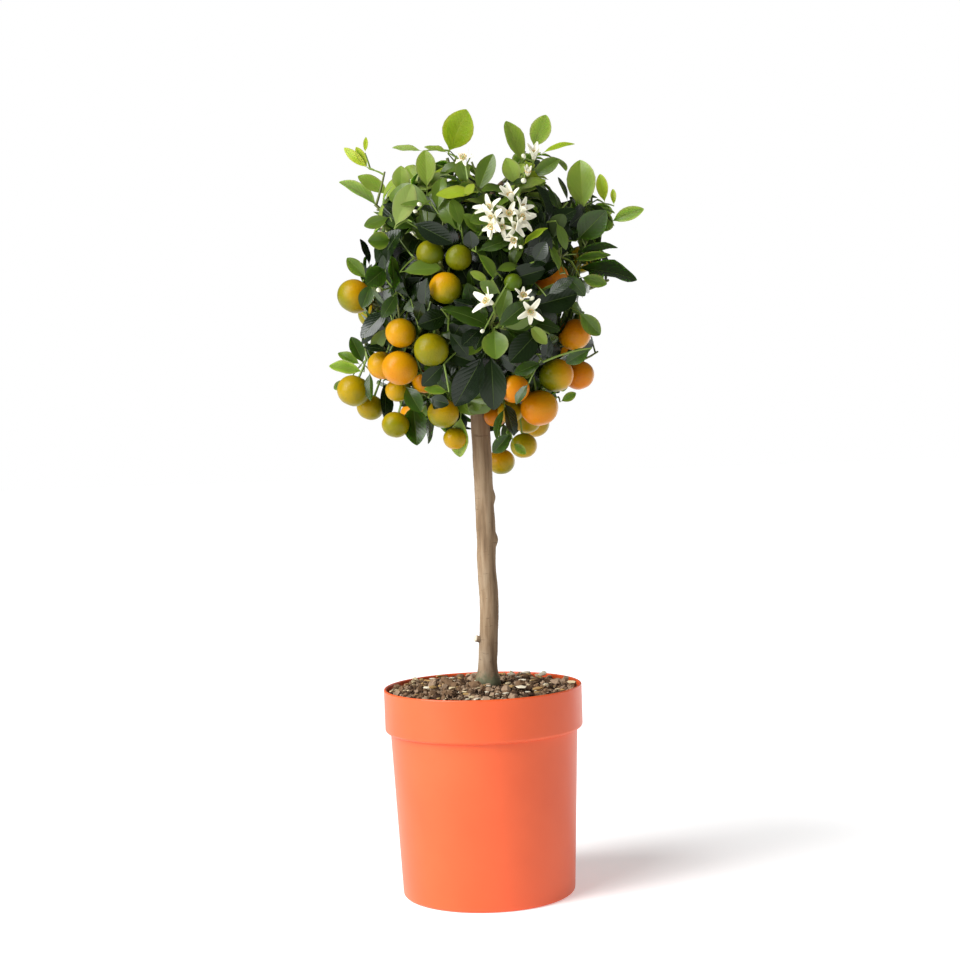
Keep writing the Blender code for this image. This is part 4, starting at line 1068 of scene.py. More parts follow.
def tubes(name, lines, roundness):
    """Tapered tubes along many lines as one mesh: curves with a round bevel, then made a mesh."""
    leave_all()
    bpy.ops.curve.primitive_bezier_curve_add()
    piece = named(name)
    curve = piece.data
    curve.splines.clear()
    curve.dimensions = "3D"
    curve.bevel_depth = 1.0
    curve.bevel_resolution = roundness
    curve.use_fill_caps = True
    for path, radii in lines:
        line = curve.splines.new("POLY")
        line.points.add(len(path) - 1)
        for spot, place, radius in zip(line.points, path, radii):
            spot.co = (*place, 1.0)
            spot.radius = radius
    bpy.ops.object.convert(target="MESH")
    edit_all()
    bpy.ops.mesh.remove_doubles(threshold=0.00001)
    bpy.ops.mesh.normals_make_consistent(inside=False)
    bpy.ops.object.mode_set(mode="OBJECT")
    return bpy.context.object


# The crown's rule of growth, as in the model


def inside_cell(name, point, margin):
    """True where a point is nearer to this mass's centre than to any other, by a margin."""
    home = MASS_CENTRES[name]
    for other, centre in MASS_CENTRES.items():
        if other == name:
            continue
        apart = (centre - home).normalized()
        if (point - (centre + home) / 2).dot(apart) > -margin:
            return False
    return True


def crown_share(point):
    """How far out a point lies in the crown: 0 at its middle and 1 at its outer limit."""
    offset = point - CROWN_MIDDLE
    across = math.hypot(offset.x / CROWN_HALF_WIDTH, offset.y / CROWN_HALF_DEPTH)
    if offset.z > 0:
        power = CROWN_SQUARENESS
        upright = offset.z / CROWN_RISE
    else:
        power = 2.0
        upright = -offset.z / CROWN_FALL
    return (across ** power + upright ** power) ** (1 / power)


def bough_root(name):
    """Where on the trunk's centre line a mass's bough leaves it: higher for a higher mass."""
    climbing = sorted(MASS_CENTRES, key=lambda other: MASS_CENTRES[other].z)
    return trunk_point(FORK_HEIGHT + BOUGH_FIRST + climbing.index(name) * BOUGH_SPACING)


def arc_path(start, bend, stop, steps):
    """Points along a curve that leaves start towards bend and then turns to stop."""
    path = []
    for i in range(steps + 1):
        share = i / steps
        path.append(start.lerp(bend, share).lerp(bend.lerp(stop, share), share))
    return path


def bough_path(name):
    """A bough's line from the trunk to the start of its mass's stem."""
    root = bough_root(name)
    centre = MASS_CENTRES[name]
    way = centre - root
    stop = centre - way.normalized() * STEM_BACK
    bend = root.lerp(stop, 0.5) + Vector((0.0, 0.0, 0.12 * way.length))
    return arc_path(root, bend, stop, 8)


def stem_path(name):
    """A stem's line, from its bough's tip out through the mass's centre."""
    if name == LEADER_MASS:
        start = trunk_point(max(TRUNK_LINE) - 0.002)
        heading = (start - trunk_point(max(TRUNK_LINE) - 0.01)).normalized()
    else:
        limb = bough_path(name)
        start = limb[-1]
        heading = (limb[-1] - limb[-2]).normalized()
    centre = MASS_CENTRES[name]
    outward = (centre - start).normalized()
    reach = STEM_REACH
    while reach > 0.004 and not sound_place(name, centre + outward * reach):
        reach -= 0.003
    stop = centre + outward * reach
    return arc_path(start, start + heading * (stop - start).length * 0.5, stop, 6)


def sound_place(name, point):
    """True where a point is well inside its mass's space and the crown."""
    return inside_cell(name, point, STEM_END_MARGIN) and crown_share(point) < STEM_END_LIMIT


def tapered(count, first, last):
    """Radii that go evenly from the first to the last."""
    return [first + (last - first) * i / (count - 1) for i in range(count)]


def crown_limit(point):
    """How far out leaves reach in a point's direction, from mass to mass a little more or less."""
    way = (point - CROWN_MIDDLE).normalized()
    return min(1.0, 0.94 + 0.10 * noise.noise(way * 2.6))


def polar(across, down):
    """A place in the picture as an angle and a distance from the crown's middle."""
    right = across - OUTLINE_MIDDLE[0]
    up = OUTLINE_MIDDLE[1] - down
    return math.atan2(up, right), math.hypot(right, up)


def squared(face, heading):
    """The direction nearest to face that stands square to heading."""
    square = face - heading * face.dot(heading)
    if square.length < 0.05:
        square = heading.orthogonal()
    return square.normalized()


def seen(point):
    """Where the camera sees a point: pixels across, pixels down and metres away."""
    spot = CAMERA_TURN.transposed() @ (point - CAMERA_PLACE)
    half = PICTURE_SIDE / 2
    return half - FOCAL_PIXELS * spot.x / spot.z, half + FOCAL_PIXELS * spot.y / spot.z, -spot.z


def placed(across, down, front):
    """The point that the camera sees at a pixel, this far in front of the trunk."""
    half = PICTURE_SIDE / 2
    way = CAMERA_TURN @ Vector((across - half, half - down, -FOCAL_PIXELS))
    return CAMERA_PLACE + way * ((-front - CAMERA_PLACE.y) / way.y)


def crown_front(across, down):
    """How far in front of the trunk the face of the crown's leaves lies at a pixel."""
    front = 0.0
    for _ in range(4):
        offset = placed(across, down, front) - CROWN_MIDDLE
        upright = offset.z / (CROWN_RISE if offset.z > 0 else CROWN_FALL)
        room = 1 - (offset.x / CROWN_HALF_WIDTH) ** 2 - upright ** 2
        front = LEAF_LAYER * CROWN_HALF_DEPTH * math.sqrt(max(0.0, room))
    return front


def on_crown(across, down, proud):
    """The point at a pixel, this many millimetres in front of the face of the crown's leaves."""
    return placed(across, down, crown_front(across, down) + proud / 1000)


class Plant:
    """Everything that grows in the crown, and what is already in the way."""

    def __init__(self):
        self.twigs = []
        self.joints = []
        self.owners = []
        self.leaves = {kind: [] for kind in LEAF_COLOURS}
        self.blades = []
        self.fruits = []
        self.flowers = []
        self.buds = []
        self.kept_open = [(across, down, FAR_AWAY, pixels) for across, down, pixels in SKY_GAPS]
        self.outline = list(zip(*sorted(polar(*corner) for corner in SEEN_OUTLINE)))

    def add_twig(self, path, first, last, parent=None, joint=0, bears=True):
        """Add a twig, which grows from a joint of its parent and from which later ones may grow."""
        twig = {
            "path": path, "radii": tapered(len(path), first, last), "parent": parent, "joint": joint,
            "bears": bears, "used": len(path) - 1 if bears else 0, "end": path[-1]}
        self.twigs.append(twig)
        self.joints += path
        self.owners += [(twig, step) for step in range(len(path))]
        return twig

    def add_limb(self, path):
        """Let twigs grow from a bough, which is drawn with the boughs."""
        self.joints += path
        self.owners += [(None, 0)] * len(path)

    def bearing_twigs(self):
        """The twigs that bear something or carry such a twig, each up to the last place in use."""
        for twig in reversed(self.twigs):
            parent = twig["parent"]
            if twig["bears"] and parent:
                parent["bears"] = True
                if twig["joint"] >= parent["used"]:
                    parent["used"] = twig["joint"]
                    parent["end"] = parent["path"][twig["joint"]]
        lines = []
        for twig in self.twigs:
            if twig["bears"]:
                last = twig["used"]
                lines.append((twig["path"][:last] + [twig["end"]], twig["radii"][:last + 1]))
        return lines

    def reach(self, spot, first, last, sag=0.0):
        """Grow a twig to a spot from the nearest limb that lies further in."""
        limit = crown_share(spot) - 0.03
        inner = [k for k, joint in enumerate(self.joints) if crown_share(joint) < limit]
        inner.sort(key=lambda k: (self.joints[k] - spot).length)
        ways = []
        for k in inner[:REACH_TRIES]:
            run = spot - self.joints[k]
            bend = self.joints[k].lerp(spot, 0.5) + Vector((0.0, 0.0, sag * run.length))
            path = arc_path(self.joints[k], bend, spot, max(3, int(run.length / TWIG_STEP)))
            faults = sum(self.hides([point]) or not self.clear_of_fruit([point]) for point in path[:-1])
            if self.owners[k][0] and not self.stands_clear(self.owners[k][0]):
                faults += 3
            ways.append((faults, len(ways), k, path))
            if not faults:
                break
        _, _, k, path = min(ways)
        parent, joint = self.owners[k]
        self.add_twig(path, first, last, parent, joint)
        return path

    def keep_open(self, point, pixels):
        """Let nothing grow between a point and the camera, within this many pixels."""
        self.kept_open.append((*seen(point), pixels))

    def hides(self, points):
        """True where any point would hide something that is kept open."""
        kept = np.array(self.kept_open)
        for point in points:
            across, down, away = seen(point)
            near = (kept[:, 0] - across) ** 2 + (kept[:, 1] - down) ** 2 < kept[:, 3] ** 2
            if np.any(near & (kept[:, 2] > away + 0.001)):
                return True
        return False

    def inside_outline(self, point, edge):
        """True where the camera sees a point inside this share of the outline, or less far back."""
        angle, distance = polar(*seen(point)[:2])
        edge -= BACK_INSET * min(1.0, max(0.0, point.y / BACK_DEPTH))
        return distance < edge * np.interp(angle, *self.outline, period=math.tau)

    def stands_clear(self, twig):
        """True where a twig goes through no fruit and hides nothing that is kept open."""
        return self.clear_of_fruit(twig["path"]) and not self.hides(twig["path"])

    def clear_of_fruit(self, points):
        """True where no point lies in a fruit."""
        return all((point - fruit["centre"]).length > fruit["radius"] + FRUIT_CLEARANCE
                   for point in points for fruit in self.fruits)

    def clear_of_leaves(self, space, middle, reach):
        """True where a blade crosses none of the others."""
        for other_middle, other_reach, other in self.blades:
            if (middle - other_middle).length < reach + other_reach and space.overlap(other):
                return False
        return True

    def add_leaf(self, leaf, edge=1.0, leading=False):
        """Add a leaf where it fits, up to a share of the crown's reach, and say whether it did."""
        points = blade_points(leaf, BLADE_CORNERS)
        if not leading:
            if any(crown_share(point) > crown_limit(point) * edge or near_trunk(point) for point in points):
                return False
            if not all(self.inside_outline(point, edge) for point in points):
                return False
            if not self.clear_of_fruit(points):
                return False
            if self.hides(points + blade_points(leaf, BLADE_MIDDLE)):
                return False
        space = BVHTree.FromPolygons(points, BLADE_FACES)
        middle = leaf["root"] + leaf["heading"] * leaf["length"] / 2
        reach = leaf["length"] / 2
        if not leading and not self.clear_of_leaves(space, middle, reach):
            return False
        self.blades.append((middle, reach, space))
        self.leaves[leaf["kind"]].append(leaf)
        return True


def blade_points(leaf, places):
    """Points of a leaf's flat blade, from places given as shares of its length and width."""
    side = leaf["face"].cross(leaf["heading"])
    points = []
    for along, across in places:
        spot = leaf["root"] + leaf["heading"] * along * leaf["length"]
        points.append(spot + side * across * leaf["width"])
    return points


def near_trunk(point):
    """True where a point touches the trunk."""
    if point.z > max(TRUNK_LINE):
        return False
    line = trunk_point(max(point.z, POT_HEIGHT))
    return math.hypot(point.x - line.x, point.y) < trunk_radius(point.z) + 0.002


def new_leaf(root, heading, face, length, width, kind, draw):
    """A leaf with its own curl, fold and waviness."""
    heading = heading.normalized()
    return {
        "root": root, "heading": heading, "face": squared(face, heading), "length": length,
        "width": width, "kind": kind, "bend": draw.uniform(0.20, 1.0),
        "fold": draw.uniform(0.10, 0.42), "wave": draw.uniform(0.0, 0.035),
        "phase": draw.uniform(0.0, math.tau), "twist": draw.uniform(-0.25, 0.25),
    }


def shown_leaf(measures, draw):
    """A leaf from where the picture shows its root and tip and how wide it looks."""
    root_across, root_down, tip_across, tip_down, wide, inset, kind = measures
    front = min(crown_front(root_across, root_down), crown_front(tip_across, tip_down)) - inset / 1000
    root = placed(root_across, root_down, front)
    tip = placed(tip_across, tip_down, front - draw.uniform(*SHOWN_TIP_DEPTH))
    width = wide * (root - CAMERA_PLACE).length / FOCAL_PIXELS
    towards = (CAMERA_PLACE - root).normalized()
    length = (tip - root).length
    full = width
    if kind not in NARROW_KINDS and width > MOST_WIDTH_SHARE * length:
        lean = math.sqrt(max(0.0, (width / MOST_WIDTH_SHARE) ** 2 - length ** 2))
        tip = tip + towards * min(lean, MOST_LEAN * length)
    elif kind not in NARROW_KINDS:
        full = max(width, LEAST_WIDTH_SHARE * length)
    heading = (tip - root).normalized()
    facing = squared(towards, heading)
    roll = math.acos(min(1.0, width / full))
    options = [Quaternion(heading, sign * roll) @ facing for sign in (-1, 1)]
    face = max(options, key=lambda way: way.z)
    leaf = new_leaf(root, heading, face, (tip - root).length, full, kind, draw)
    leaf["bend"] *= 0.6
    return leaf


def grow_stems(plant):
    """Each mass's stem and side shoots, as in the model, then the finer twigs on the shoots."""
    twigs = []
    for name in MASS_CENTRES:
        draw = random.Random("calamondin " + name)
        stem = plant.add_twig(stem_path(name), STEM_RADIUS, STEM_TIP_RADIUS, bears=False)
        twigs.append(stem)
        for shoot in side_twigs(plant, name, stem, draw, SHOOTS):
            twigs.append(shoot)
            twigs += side_twigs(plant, name, shoot, draw, FINE_TWIGS)
    return twigs


def side_twigs(plant, name, parent, draw, rule):
    """Twigs round a limb by the golden angle, shortened where space is scarce."""
    grown = []
    limb = parent["path"]
    turn = draw.uniform(0.0, math.tau)
    for i in range(rule["count"]):
        share = 0.12 + 0.80 * i / (rule["count"] - 1)
        step = min(int(share * (len(limb) - 1)), len(limb) - 2)
        root = limb[step].lerp(limb[step + 1], share * (len(limb) - 1) - step)
        heading = (limb[step + 1] - limb[step]).normalized()
        turn += GOLDEN_ANGLE
        radial = Quaternion(heading, turn) @ heading.orthogonal().normalized()
        way = heading * math.cos(rule["angle"]) + radial * math.sin(rule["angle"])
        length = draw.uniform(*rule["lengths"])
        lift = Vector((0.0, 0.0, TWIG_LIFT * length))
        for shorter in TWIG_CUTS:
            stop = root + way * length * shorter + lift
            if crown_share(stop) >= TWIG_EDGE or near_trunk(stop):
                continue
            if inside_cell(name, stop, -TWIG_STRAY):
                path = arc_path(root, root.lerp(stop, 0.5) - lift * 0.6, stop, 4)
                grown.append(plant.add_twig(path, *rule["radii"], parent, step + 1, bears=False))
                break
    return grown


def hang_fruits(plant):
    """Hang every fruit on a bent stalk from the nearest limb, and give back the stalks."""
    for number, (x, y, z, radius, ripeness, change) in enumerate(FRUITS):
        centre = Vector((x, y, z))
        for other in plant.fruits:
            apart = (centre - other["centre"]).length
            radius = min(radius, apart - other["radius"] - FRUIT_GAP)
        top = centre + Vector((0.0, 0.0, FRUIT_FLATNESS * radius))
        inner = top.lerp(CROWN_MIDDLE, 0.10) + Vector((0.0, 0.0, 0.004))
        plant.fruits.append({
            "centre": centre, "radius": radius, "axis": (inner - centre).normalized(), "inner": inner,
            "ripeness": ripeness, "change": change, "number": number})
        if number not in HIDDEN_FRUITS and y < 0.02:
            plant.keep_open(centre + Vector((0.0, -radius, 0.0)), radius * 0.88 / PIXEL_SIZE)
    stalks = []
    for fruit in plant.fruits:
        stalk = plant.reach(fruit["inner"], SHOOT_RADIUS, SHOOT_TIP_RADIUS, 0.25)
        stalks.append(plant.twigs[-1])
        foot = fruit["centre"] + fruit["axis"] * fruit["radius"] * 0.9
        plant.add_twig([stalk[-1], foot], SHOOT_TIP_RADIUS, SHOOT_TIP_RADIUS * 1.3)
    return stalks


def set_blossoms(plant):
    """Set the blossoms and buds on thin stalks, their mouths turned as the picture shows."""
    draw = random.Random("blossoms")
    for across, down, petal, openness, (right, up) in SHOWN_BLOSSOMS.values():
        spot = on_crown(across, down, BLOSSOM_PROUD)
        way = Vector((right, -1.0, up)).normalized()
        plant.reach(spot - way * 0.004, TWIG_RADIUS, TWIG_TIP_RADIUS)
        plant.flowers.append((spot - way * 0.004, way, petal / 1000, openness, draw.uniform(0, math.tau)))
        plant.keep_open(spot, petal * 0.9)
    for x, y, z, petal in BACK_BLOSSOMS:
        spot = Vector((x, y, z))
        way = (spot - CROWN_MIDDLE).normalized()
        plant.reach(spot, TWIG_RADIUS, TWIG_TIP_RADIUS)
        plant.flowers.append((spot, way, petal, draw.uniform(50, 85), draw.uniform(0, math.tau)))
    for across, down, size in BUDS.values():
        spot = on_crown(across, down, BUD_PROUD)
        path = plant.reach(spot, TWIG_RADIUS, TWIG_TIP_RADIUS)
        way = ((spot - path[-2]).normalized() + Vector((0.0, -0.4, 0.5))).normalized()
        plant.buds.append((spot, way, size / 1000))
        plant.keep_open(spot, size)


def set_shown_leaves(plant):
    """Give the leaves that are seen first their places, each on a twig from the nearest limb."""
    draw = random.Random("shown leaves")
    leaves = [shown_leaf(measures, draw) for measures in SHOWN_LEAVES.values()]
    leaves.sort(key=lambda leaf: crown_share(leaf["root"]))
    for leaf in leaves:
        plant.reach(leaf["root"], TWIG_RADIUS, TWIG_TIP_RADIUS, 0.08)
        plant.add_leaf(leaf, leading=True)
        for along in (0.3, 0.5, 0.7, 0.9):
            reach = 0.34 * leaf["width"] / PIXEL_SIZE
            plant.keep_open(leaf["root"] + leaf["heading"] * leaf["length"] * along, max(4.0, reach))


def keep_trunk_open(plant):
    """Let no leaf hide the trunk below the crown's foot."""
    for i in range(TRUNK_MARKS):
        plant.keep_open(trunk_point(POT_HEIGHT + i * TRUNK_MARK_STEP), TRUNK_MARK_PIXELS)


def leaf_kind(root, draw):
    """A leaf's kind by its height and how far out it grows: the darker kinds deep inside and lower down are
    painted shade, and the lighter kinds near the top are painted light.
    """
    height = (root.z - (CROWN_MIDDLE.z - CROWN_FALL)) / (CROWN_RISE + CROWN_FALL)
    out = crown_share(root)
    if out < 0.62:
        return draw.choice(["dark", "dark", "deep"])
    if height > 0.80:
        return draw.choice(["fresh", "fresh", "fresh", "mid", "bright", "pale"])
    if height > 0.66:
        return draw.choice(["fresh", "fresh", "mid", "mid", "deep", "dark"])
    if height > 0.30:
        return draw.choice(["mid", "deep", "deep", "dark", "dark", "dark", "sheen"])
    return draw.choice(["mid", "mid", "deep", "deep", "dark", "dark"])


def grow_leaves(plant, twigs):
    """Set leaves from each twig's tip backwards, turning by the golden angle, where they fit."""
    draw = random.Random("calamondin leaves")
    twigs = [twig for twig in twigs if plant.stands_clear(twig)]
    kinds = [leaf_kind(twig["path"][-1], draw) for twig in twigs]
    for k in range(LEAVES_PER_TWIG):
        for i, twig in enumerate(twigs):
            root, heading, step = leaf_site(twig["path"], LEAF_SEAT + k * LEAF_SPACING)
            if root is None or crown_share(root) < LEAST_CROWN_SHARE:
                continue
            for attempt in range(LEAF_TRIES):
                turn = GOLDEN_ANGLE * k + i * 1.7 + attempt * draw.uniform(0.7, 1.3)
                leaf = grown_leaf(root, heading, turn, k, attempt, kinds[i], draw)
                if plant.add_leaf(leaf, draw.uniform(*LEAF_EDGE)):
                    twig["bears"] = True
                    if step > twig["used"]:
                        twig["used"] = step
                        twig["end"] = root
                    break


def grown_leaf(root, heading, turn, place, attempt, usual_kind, draw):
    """A leaf at a twig's side, laid over the crown's face, and shorter with each attempt."""
    outward = (root - CROWN_MIDDLE).normalized()
    spread = LEAF_ANGLE if place else LAST_LEAF_ANGLE
    radial = Quaternion(heading, turn) @ heading.orthogonal().normalized()
    way = heading * math.cos(spread) + radial * math.sin(spread)
    hang = HANGING * max(0.0, (HANGING_BELOW - root.z) / HANGING_DEPTH)
    hang -= RISING * max(0.0, (root.z - RISING_ABOVE) / RISING_DEPTH)
    way = way - outward * (way.dot(outward) * draw.uniform(*LEAF_LAY)) - Vector((0.0, 0.0, hang))
    sway = Vector([draw.uniform(-LEAF_SWAY, LEAF_SWAY) for _ in range(3)])
    face = outward + Vector((0.0, 0.0, LEAF_LIFT)) + sway
    length = draw.uniform(*LEAF_LENGTH) * (1 - LEAF_SHRINK * attempt)
    width = length * LEAF_WIDTH_SHARE * draw.uniform(*LEAF_WIDTH_CHANGE)
    kind = usual_kind if draw.random() < OWN_KIND_SHARE else leaf_kind(root, draw)
    return new_leaf(root, way, face, length, width, kind, draw)


def leaf_site(path, back):
    """A point this far back from a path's end, the path's direction there and its next joint."""
    for step in range(len(path) - 1, 0, -1):
        run = path[step] - path[step - 1]
        if back <= run.length:
            return path[step] - run.normalized() * back, run.normalized(), step
        back -= run.length
    return None, None, 0


# The crown's pieces


def leaf_model():
    """One leaf of unit length and width: a grid shaped to its outline and doubled to a closed blade."""
    leave_all()
    stations = sorted(LEAF_OUTLINE)
    columns = (-1.0, -RIB_SHARE, RIB_SHARE, 1.0)
    bpy.ops.mesh.primitive_grid_add(
        x_subdivisions=len(stations) - 1, y_subdivisions=len(columns) - 1, size=2.0)
    leaf = bpy.context.object
    for vert in leaf.data.vertices:
        station = round((vert.co.x + 1) / 2 * (len(stations) - 1))
        column = round((vert.co.y + 1) / 2 * (len(columns) - 1))
        along = stations[station]
        vert.co = (along, columns[column] * LEAF_OUTLINE[along], 0.0)
    edit_all()
    bpy.ops.mesh.duplicate()
    bpy.ops.mesh.flip_normals()
    bpy.ops.object.mode_set(mode="OBJECT")
    under = {vert.index for vert in leaf.data.vertices if vert.select}
    for index in under:
        vert = leaf.data.vertices[index]
        inside = abs(vert.co.y) < 0.9 * LEAF_OUTLINE[min(stations, key=lambda s: abs(s - vert.co.x))]
        if inside and 0.0 < vert.co.x < 1.0:
            vert.co.z = -LEAF_THICKNESS
    shape = bmesh.new()
    shape.from_mesh(leaf.data)
    for face in shape.faces:
        below = any(vert.index in under for vert in face.verts)
        on_rib = abs(face.calc_center_median().y) < RIB_SHARE * 0.4
        face.material_index = 2 if below else int(on_rib)
    bmesh.ops.remove_doubles(shape, verts=shape.verts, dist=0.00001)
    shape.verts.index_update()
    points = np.array([vert.co for vert in shape.verts])
    faces = np.array([[vert.index for vert in face.verts] for face in shape.faces])
    kinds = [face.material_index for face in shape.faces]
    shape.free()
    bpy.data.objects.remove(leaf)
    return points, faces, kinds


def leaf_cloud(points, leaf):
    """The model's points, folded, waved, bent and set in a leaf's place."""
    along, across, lift = points.T
    width = across * leaf["width"]
    rise = lift * leaf["length"] + leaf["fold"] * np.abs(width)
    wave = leaf["wave"] * leaf["length"] * np.sin(along * LEAF_WAVES + leaf["phase"])
    rise = rise + wave * np.abs(across) * 2
    rise = rise + leaf["twist"] * along * width
    bend = leaf["bend"]
    angle = bend * along - bend / 2
    length = leaf["length"] * (bend / 2) / math.sin(bend / 2)
    run = (np.sin(angle) + math.sin(bend / 2)) / bend * length + rise * np.sin(angle)
    height = (np.cos(angle) - math.cos(bend / 2)) / bend * length + rise * np.cos(angle)
    side = leaf["face"].cross(leaf["heading"])
    return (np.array(leaf["root"]) + np.outer(run, leaf["heading"]) + np.outer(height, leaf["face"])
            + np.outer(width, side))


def joined_leaves(name, clouds, faces, spots):
    """One mesh with the same faces on each cloud of points, and a map from the model's spots."""
    count = len(clouds)
    size = len(clouds[0])
    every = (faces[None] + size * np.arange(count)[:, None, None]).reshape(-1, faces.shape[1])
    piece = new_piece(name, np.concatenate(clouds).tolist(), every.tolist())
    layer = piece.data.uv_layers.new(name="leaf_map")
    layer.data.foreach_set("uv", np.tile(spots[faces.ravel()], (count, 1)).ravel())
    return piece


def make_leaves(plant):
    """All leaves, joined by kind."""
    points, faces, kinds = leaf_model()
    spots = points[:, [1, 0]] + np.array((0.5, 0.0))
    for kind, leaves in plant.leaves.items():
        colour = LEAF_COLOURS[kind]
        glow = LEAF_SKIN[kind][2]
        below = blended(colour, PALE_UNDERSIDE, 0.40)
        upper = leaf_finish("leaf_" + kind, colour, *LEAF_SKIN[kind], kind not in NARROW_KINDS)
        rib = leaf_finish("leaf_rib_" + kind, blended(colour, PALE_RIB, 0.28), 0.5, 0.2, glow, False)
        under = leaf_finish("leaf_underside_" + kind, below, 0.6, 0.2, glow, False)
        clouds = [leaf_cloud(points, leaf) for leaf in leaves]
        piece = joined_leaves("leaves_" + kind, clouds, faces, spots)
        dress_crown(piece, "foliage", 50, upper, rib, under, kinds=kinds * len(leaves))


def make_boughs():
    """The boughs, swollen and roughened a little, with their bark."""
    lines = []
    for name in MASS_CENTRES:
        if name == LEADER_MASS:
            continue
        path = bough_path(name)
        root_radius = max(BOUGH_TIP_RADIUS, BOUGH_SHARE * trunk_radius(path[0].z))
        lines.append((path, tapered(len(path), root_radius, BOUGH_TIP_RADIUS)))
    boughs = tubes("boughs", lines, 4)
    apply_modifier("SUBSURF", levels=1, render_levels=1)
    relief(boughs, 0.0006, 0.003)
    smooth(boughs, 60)
    bark = limb_finish("bough_bark", (128, 106, 80), (86, 70, 50))
    dress(boughs, "twig_bark", bark, replaces=BOUGH_NODES)


def make_twigs(plant):
    """The twigs of all masses, thick and thin ones apart."""
    lines = plant.bearing_twigs()
    thick = [line for line in lines if line[1][0] > TWIG_RADIUS]
    thin = [line for line in lines if line[1][0] <= TWIG_RADIUS]
    shoots = tubes("shoots", thick, 1)
    dress_crown(shoots, "twig_bark", 60, twig_finish("shoot_bark", (100, 108, 52)))
    twigs = tubes("twigs", thin, 0)
    dress_crown(twigs, "twig_bark", 80, twig_finish("twig_skin", (112, 134, 54)))


def make_fruits(plant):
    """All fruits as one piece, each with its own ripeness and its own field of the bake's map."""
    leave_all()
    bpy.ops.mesh.primitive_uv_sphere_add(segments=28, ring_count=18, radius=1.0)
    maps = np.array([spot.uv for spot in bpy.context.object.data.uv_layers[0].data])
    points, faces = taken_as_model()
    height = points[:, 2]
    dimple = 1 - 0.10 * np.exp(-((height - 1) / 0.035) ** 2) - 0.03 * np.exp(-((height + 1) / 0.02) ** 2)
    fields = math.ceil(math.sqrt(len(plant.fruits)))
    draw = random.Random("fruits")
    heap = Heap()
    spots = []
    ripeness = []
    for fruit in plant.fruits:
        turn = np.array(fruit["axis"].to_track_quat("Z", "Y").to_matrix())
        shape = points * dimple[:, None] * np.array((1.0, 1.0, FRUIT_FLATNESS)) * fruit["radius"]
        ball = shape @ turn.T
        heap.add((ball + np.array(fruit["centre"])).tolist(), faces)
        column, row = fruit["number"] % fields, fruit["number"] // fields
        spots.append((maps * 0.94 + 0.03 + np.array((column, row))) / fields)
        way = Vector((draw.uniform(-1, 1), draw.uniform(-1, 0.4), draw.uniform(-1, 1)))
        way = np.array(Vector(BLUSH.get(fruit["number"], way)).normalized())
        ripeness += (fruit["ripeness"] + fruit["change"] * (ball @ way) / fruit["radius"]).tolist()
    piece = heap.joined("fruits")
    piece.data.uv_layers.new(name="OFBake").data.foreach_set("uv", np.concatenate(spots).ravel())
    piece.data.attributes.new("ripeness", "FLOAT", "POINT").data.foreach_set("value", ripeness)
    dress_crown(piece, "fruit", 60, peel_finish())


def calyx_faces():
    """The faces of one calyx, whose points are a middle and a rim above, then the same below."""
    faces = []
    low = CALYX_CORNERS + 1
    for i in range(CALYX_CORNERS):
        a, b = 1 + i, 1 + (i + 1) % CALYX_CORNERS
        faces += [(0, a, b), (low, low + b, low + a), (a, low + a, low + b, b)]
    return faces


def make_calyxes(plant):
    """The green star that holds each fruit to its stalk."""
    heap = Heap()
    faces = calyx_faces()
    for fruit in plant.fruits:
        turn = fruit["axis"].to_track_quat("Z", "Y").to_matrix()
        height = fruit["radius"] * FRUIT_FLATNESS * 0.90
        points = []
        for level in CALYX_LEVELS:
            points.append(Vector((0.0, 0.0, height + level + CALYX_SWELL)))
            for i in range(CALYX_CORNERS):
                angle = math.tau * i / CALYX_CORNERS
                radius = CALYX_RADII[i % 2]
                points.append(Vector((radius * math.cos(angle), radius * math.sin(angle), height + level)))
        heap.add([fruit["centre"] + turn @ point for point in points], faces)
    dress_crown(heap.joined("fruit_calyxes"), "twig_bark", 50, twig_finish("calyx_green", (96, 120, 50)))


def petal_points(length, openness, turn):
    """The points of one petal of a flower on +Z: a strap that arches out and is slightly hollow."""
    points = []
    radius = THROAT_RADIUS
    height = 0.0
    out = Vector((math.cos(turn), math.sin(turn), 0.0))
    side = Vector((-math.sin(turn), math.cos(turn), 0.0))
    for i in range(PETAL_ROWS + 1):
        share = i / PETAL_ROWS
        angle = THROAT_ANGLE + (math.radians(openness) * 1.15 - THROAT_ANGLE) * min(1.0, share * 1.35)
        if i:
            radius += math.sin(angle) * length / PETAL_ROWS
            height += math.cos(angle) * length / PETAL_ROWS
        half = length * PETAL_WIDTH_SHARE * math.sin(math.pi * (0.12 + 0.80 * share)) ** 0.8
        inward = out * -math.cos(angle) + Vector((0.0, 0.0, math.sin(angle)))
        for across in PETAL_COLUMNS:
            cup = inward * half * PETAL_CUP * across * across
            points.append(out * radius + Vector((0.0, 0.0, height)) + side * half * across + cup)
    return points


def make_petals(plant):
    """The petals of all flowers, each a little longer or shorter, more or less open."""
    columns = len(PETAL_COLUMNS)
    starts = [row * columns + column for row in range(PETAL_ROWS) for column in range(columns - 1)]
    faces = [(a, a + 1, a + columns + 1, a + columns) for a in starts]
    heap = Heap()
    draw = random.Random("petals")
    for spot, way, length, openness, turn in plant.flowers:
        flower_turn = way.to_track_quat("Z", "Y").to_matrix()
        for i in range(PETALS):
            points = petal_points(
                length * draw.uniform(0.80, 1.10), openness * draw.uniform(0.65, 1.25),
                turn + math.tau * i / PETALS + draw.uniform(-0.28, 0.28))
            heap.add([spot + flower_turn @ point for point in points], faces)
    petals = heap.joined("petals")
    pick(petals)
    apply_modifier("SOLIDIFY", thickness=PETAL_THICKNESS, offset=0.0)
    dress_crown(petals, "blossom", 60, petal_finish("petal_white", (236, 234, 214)))


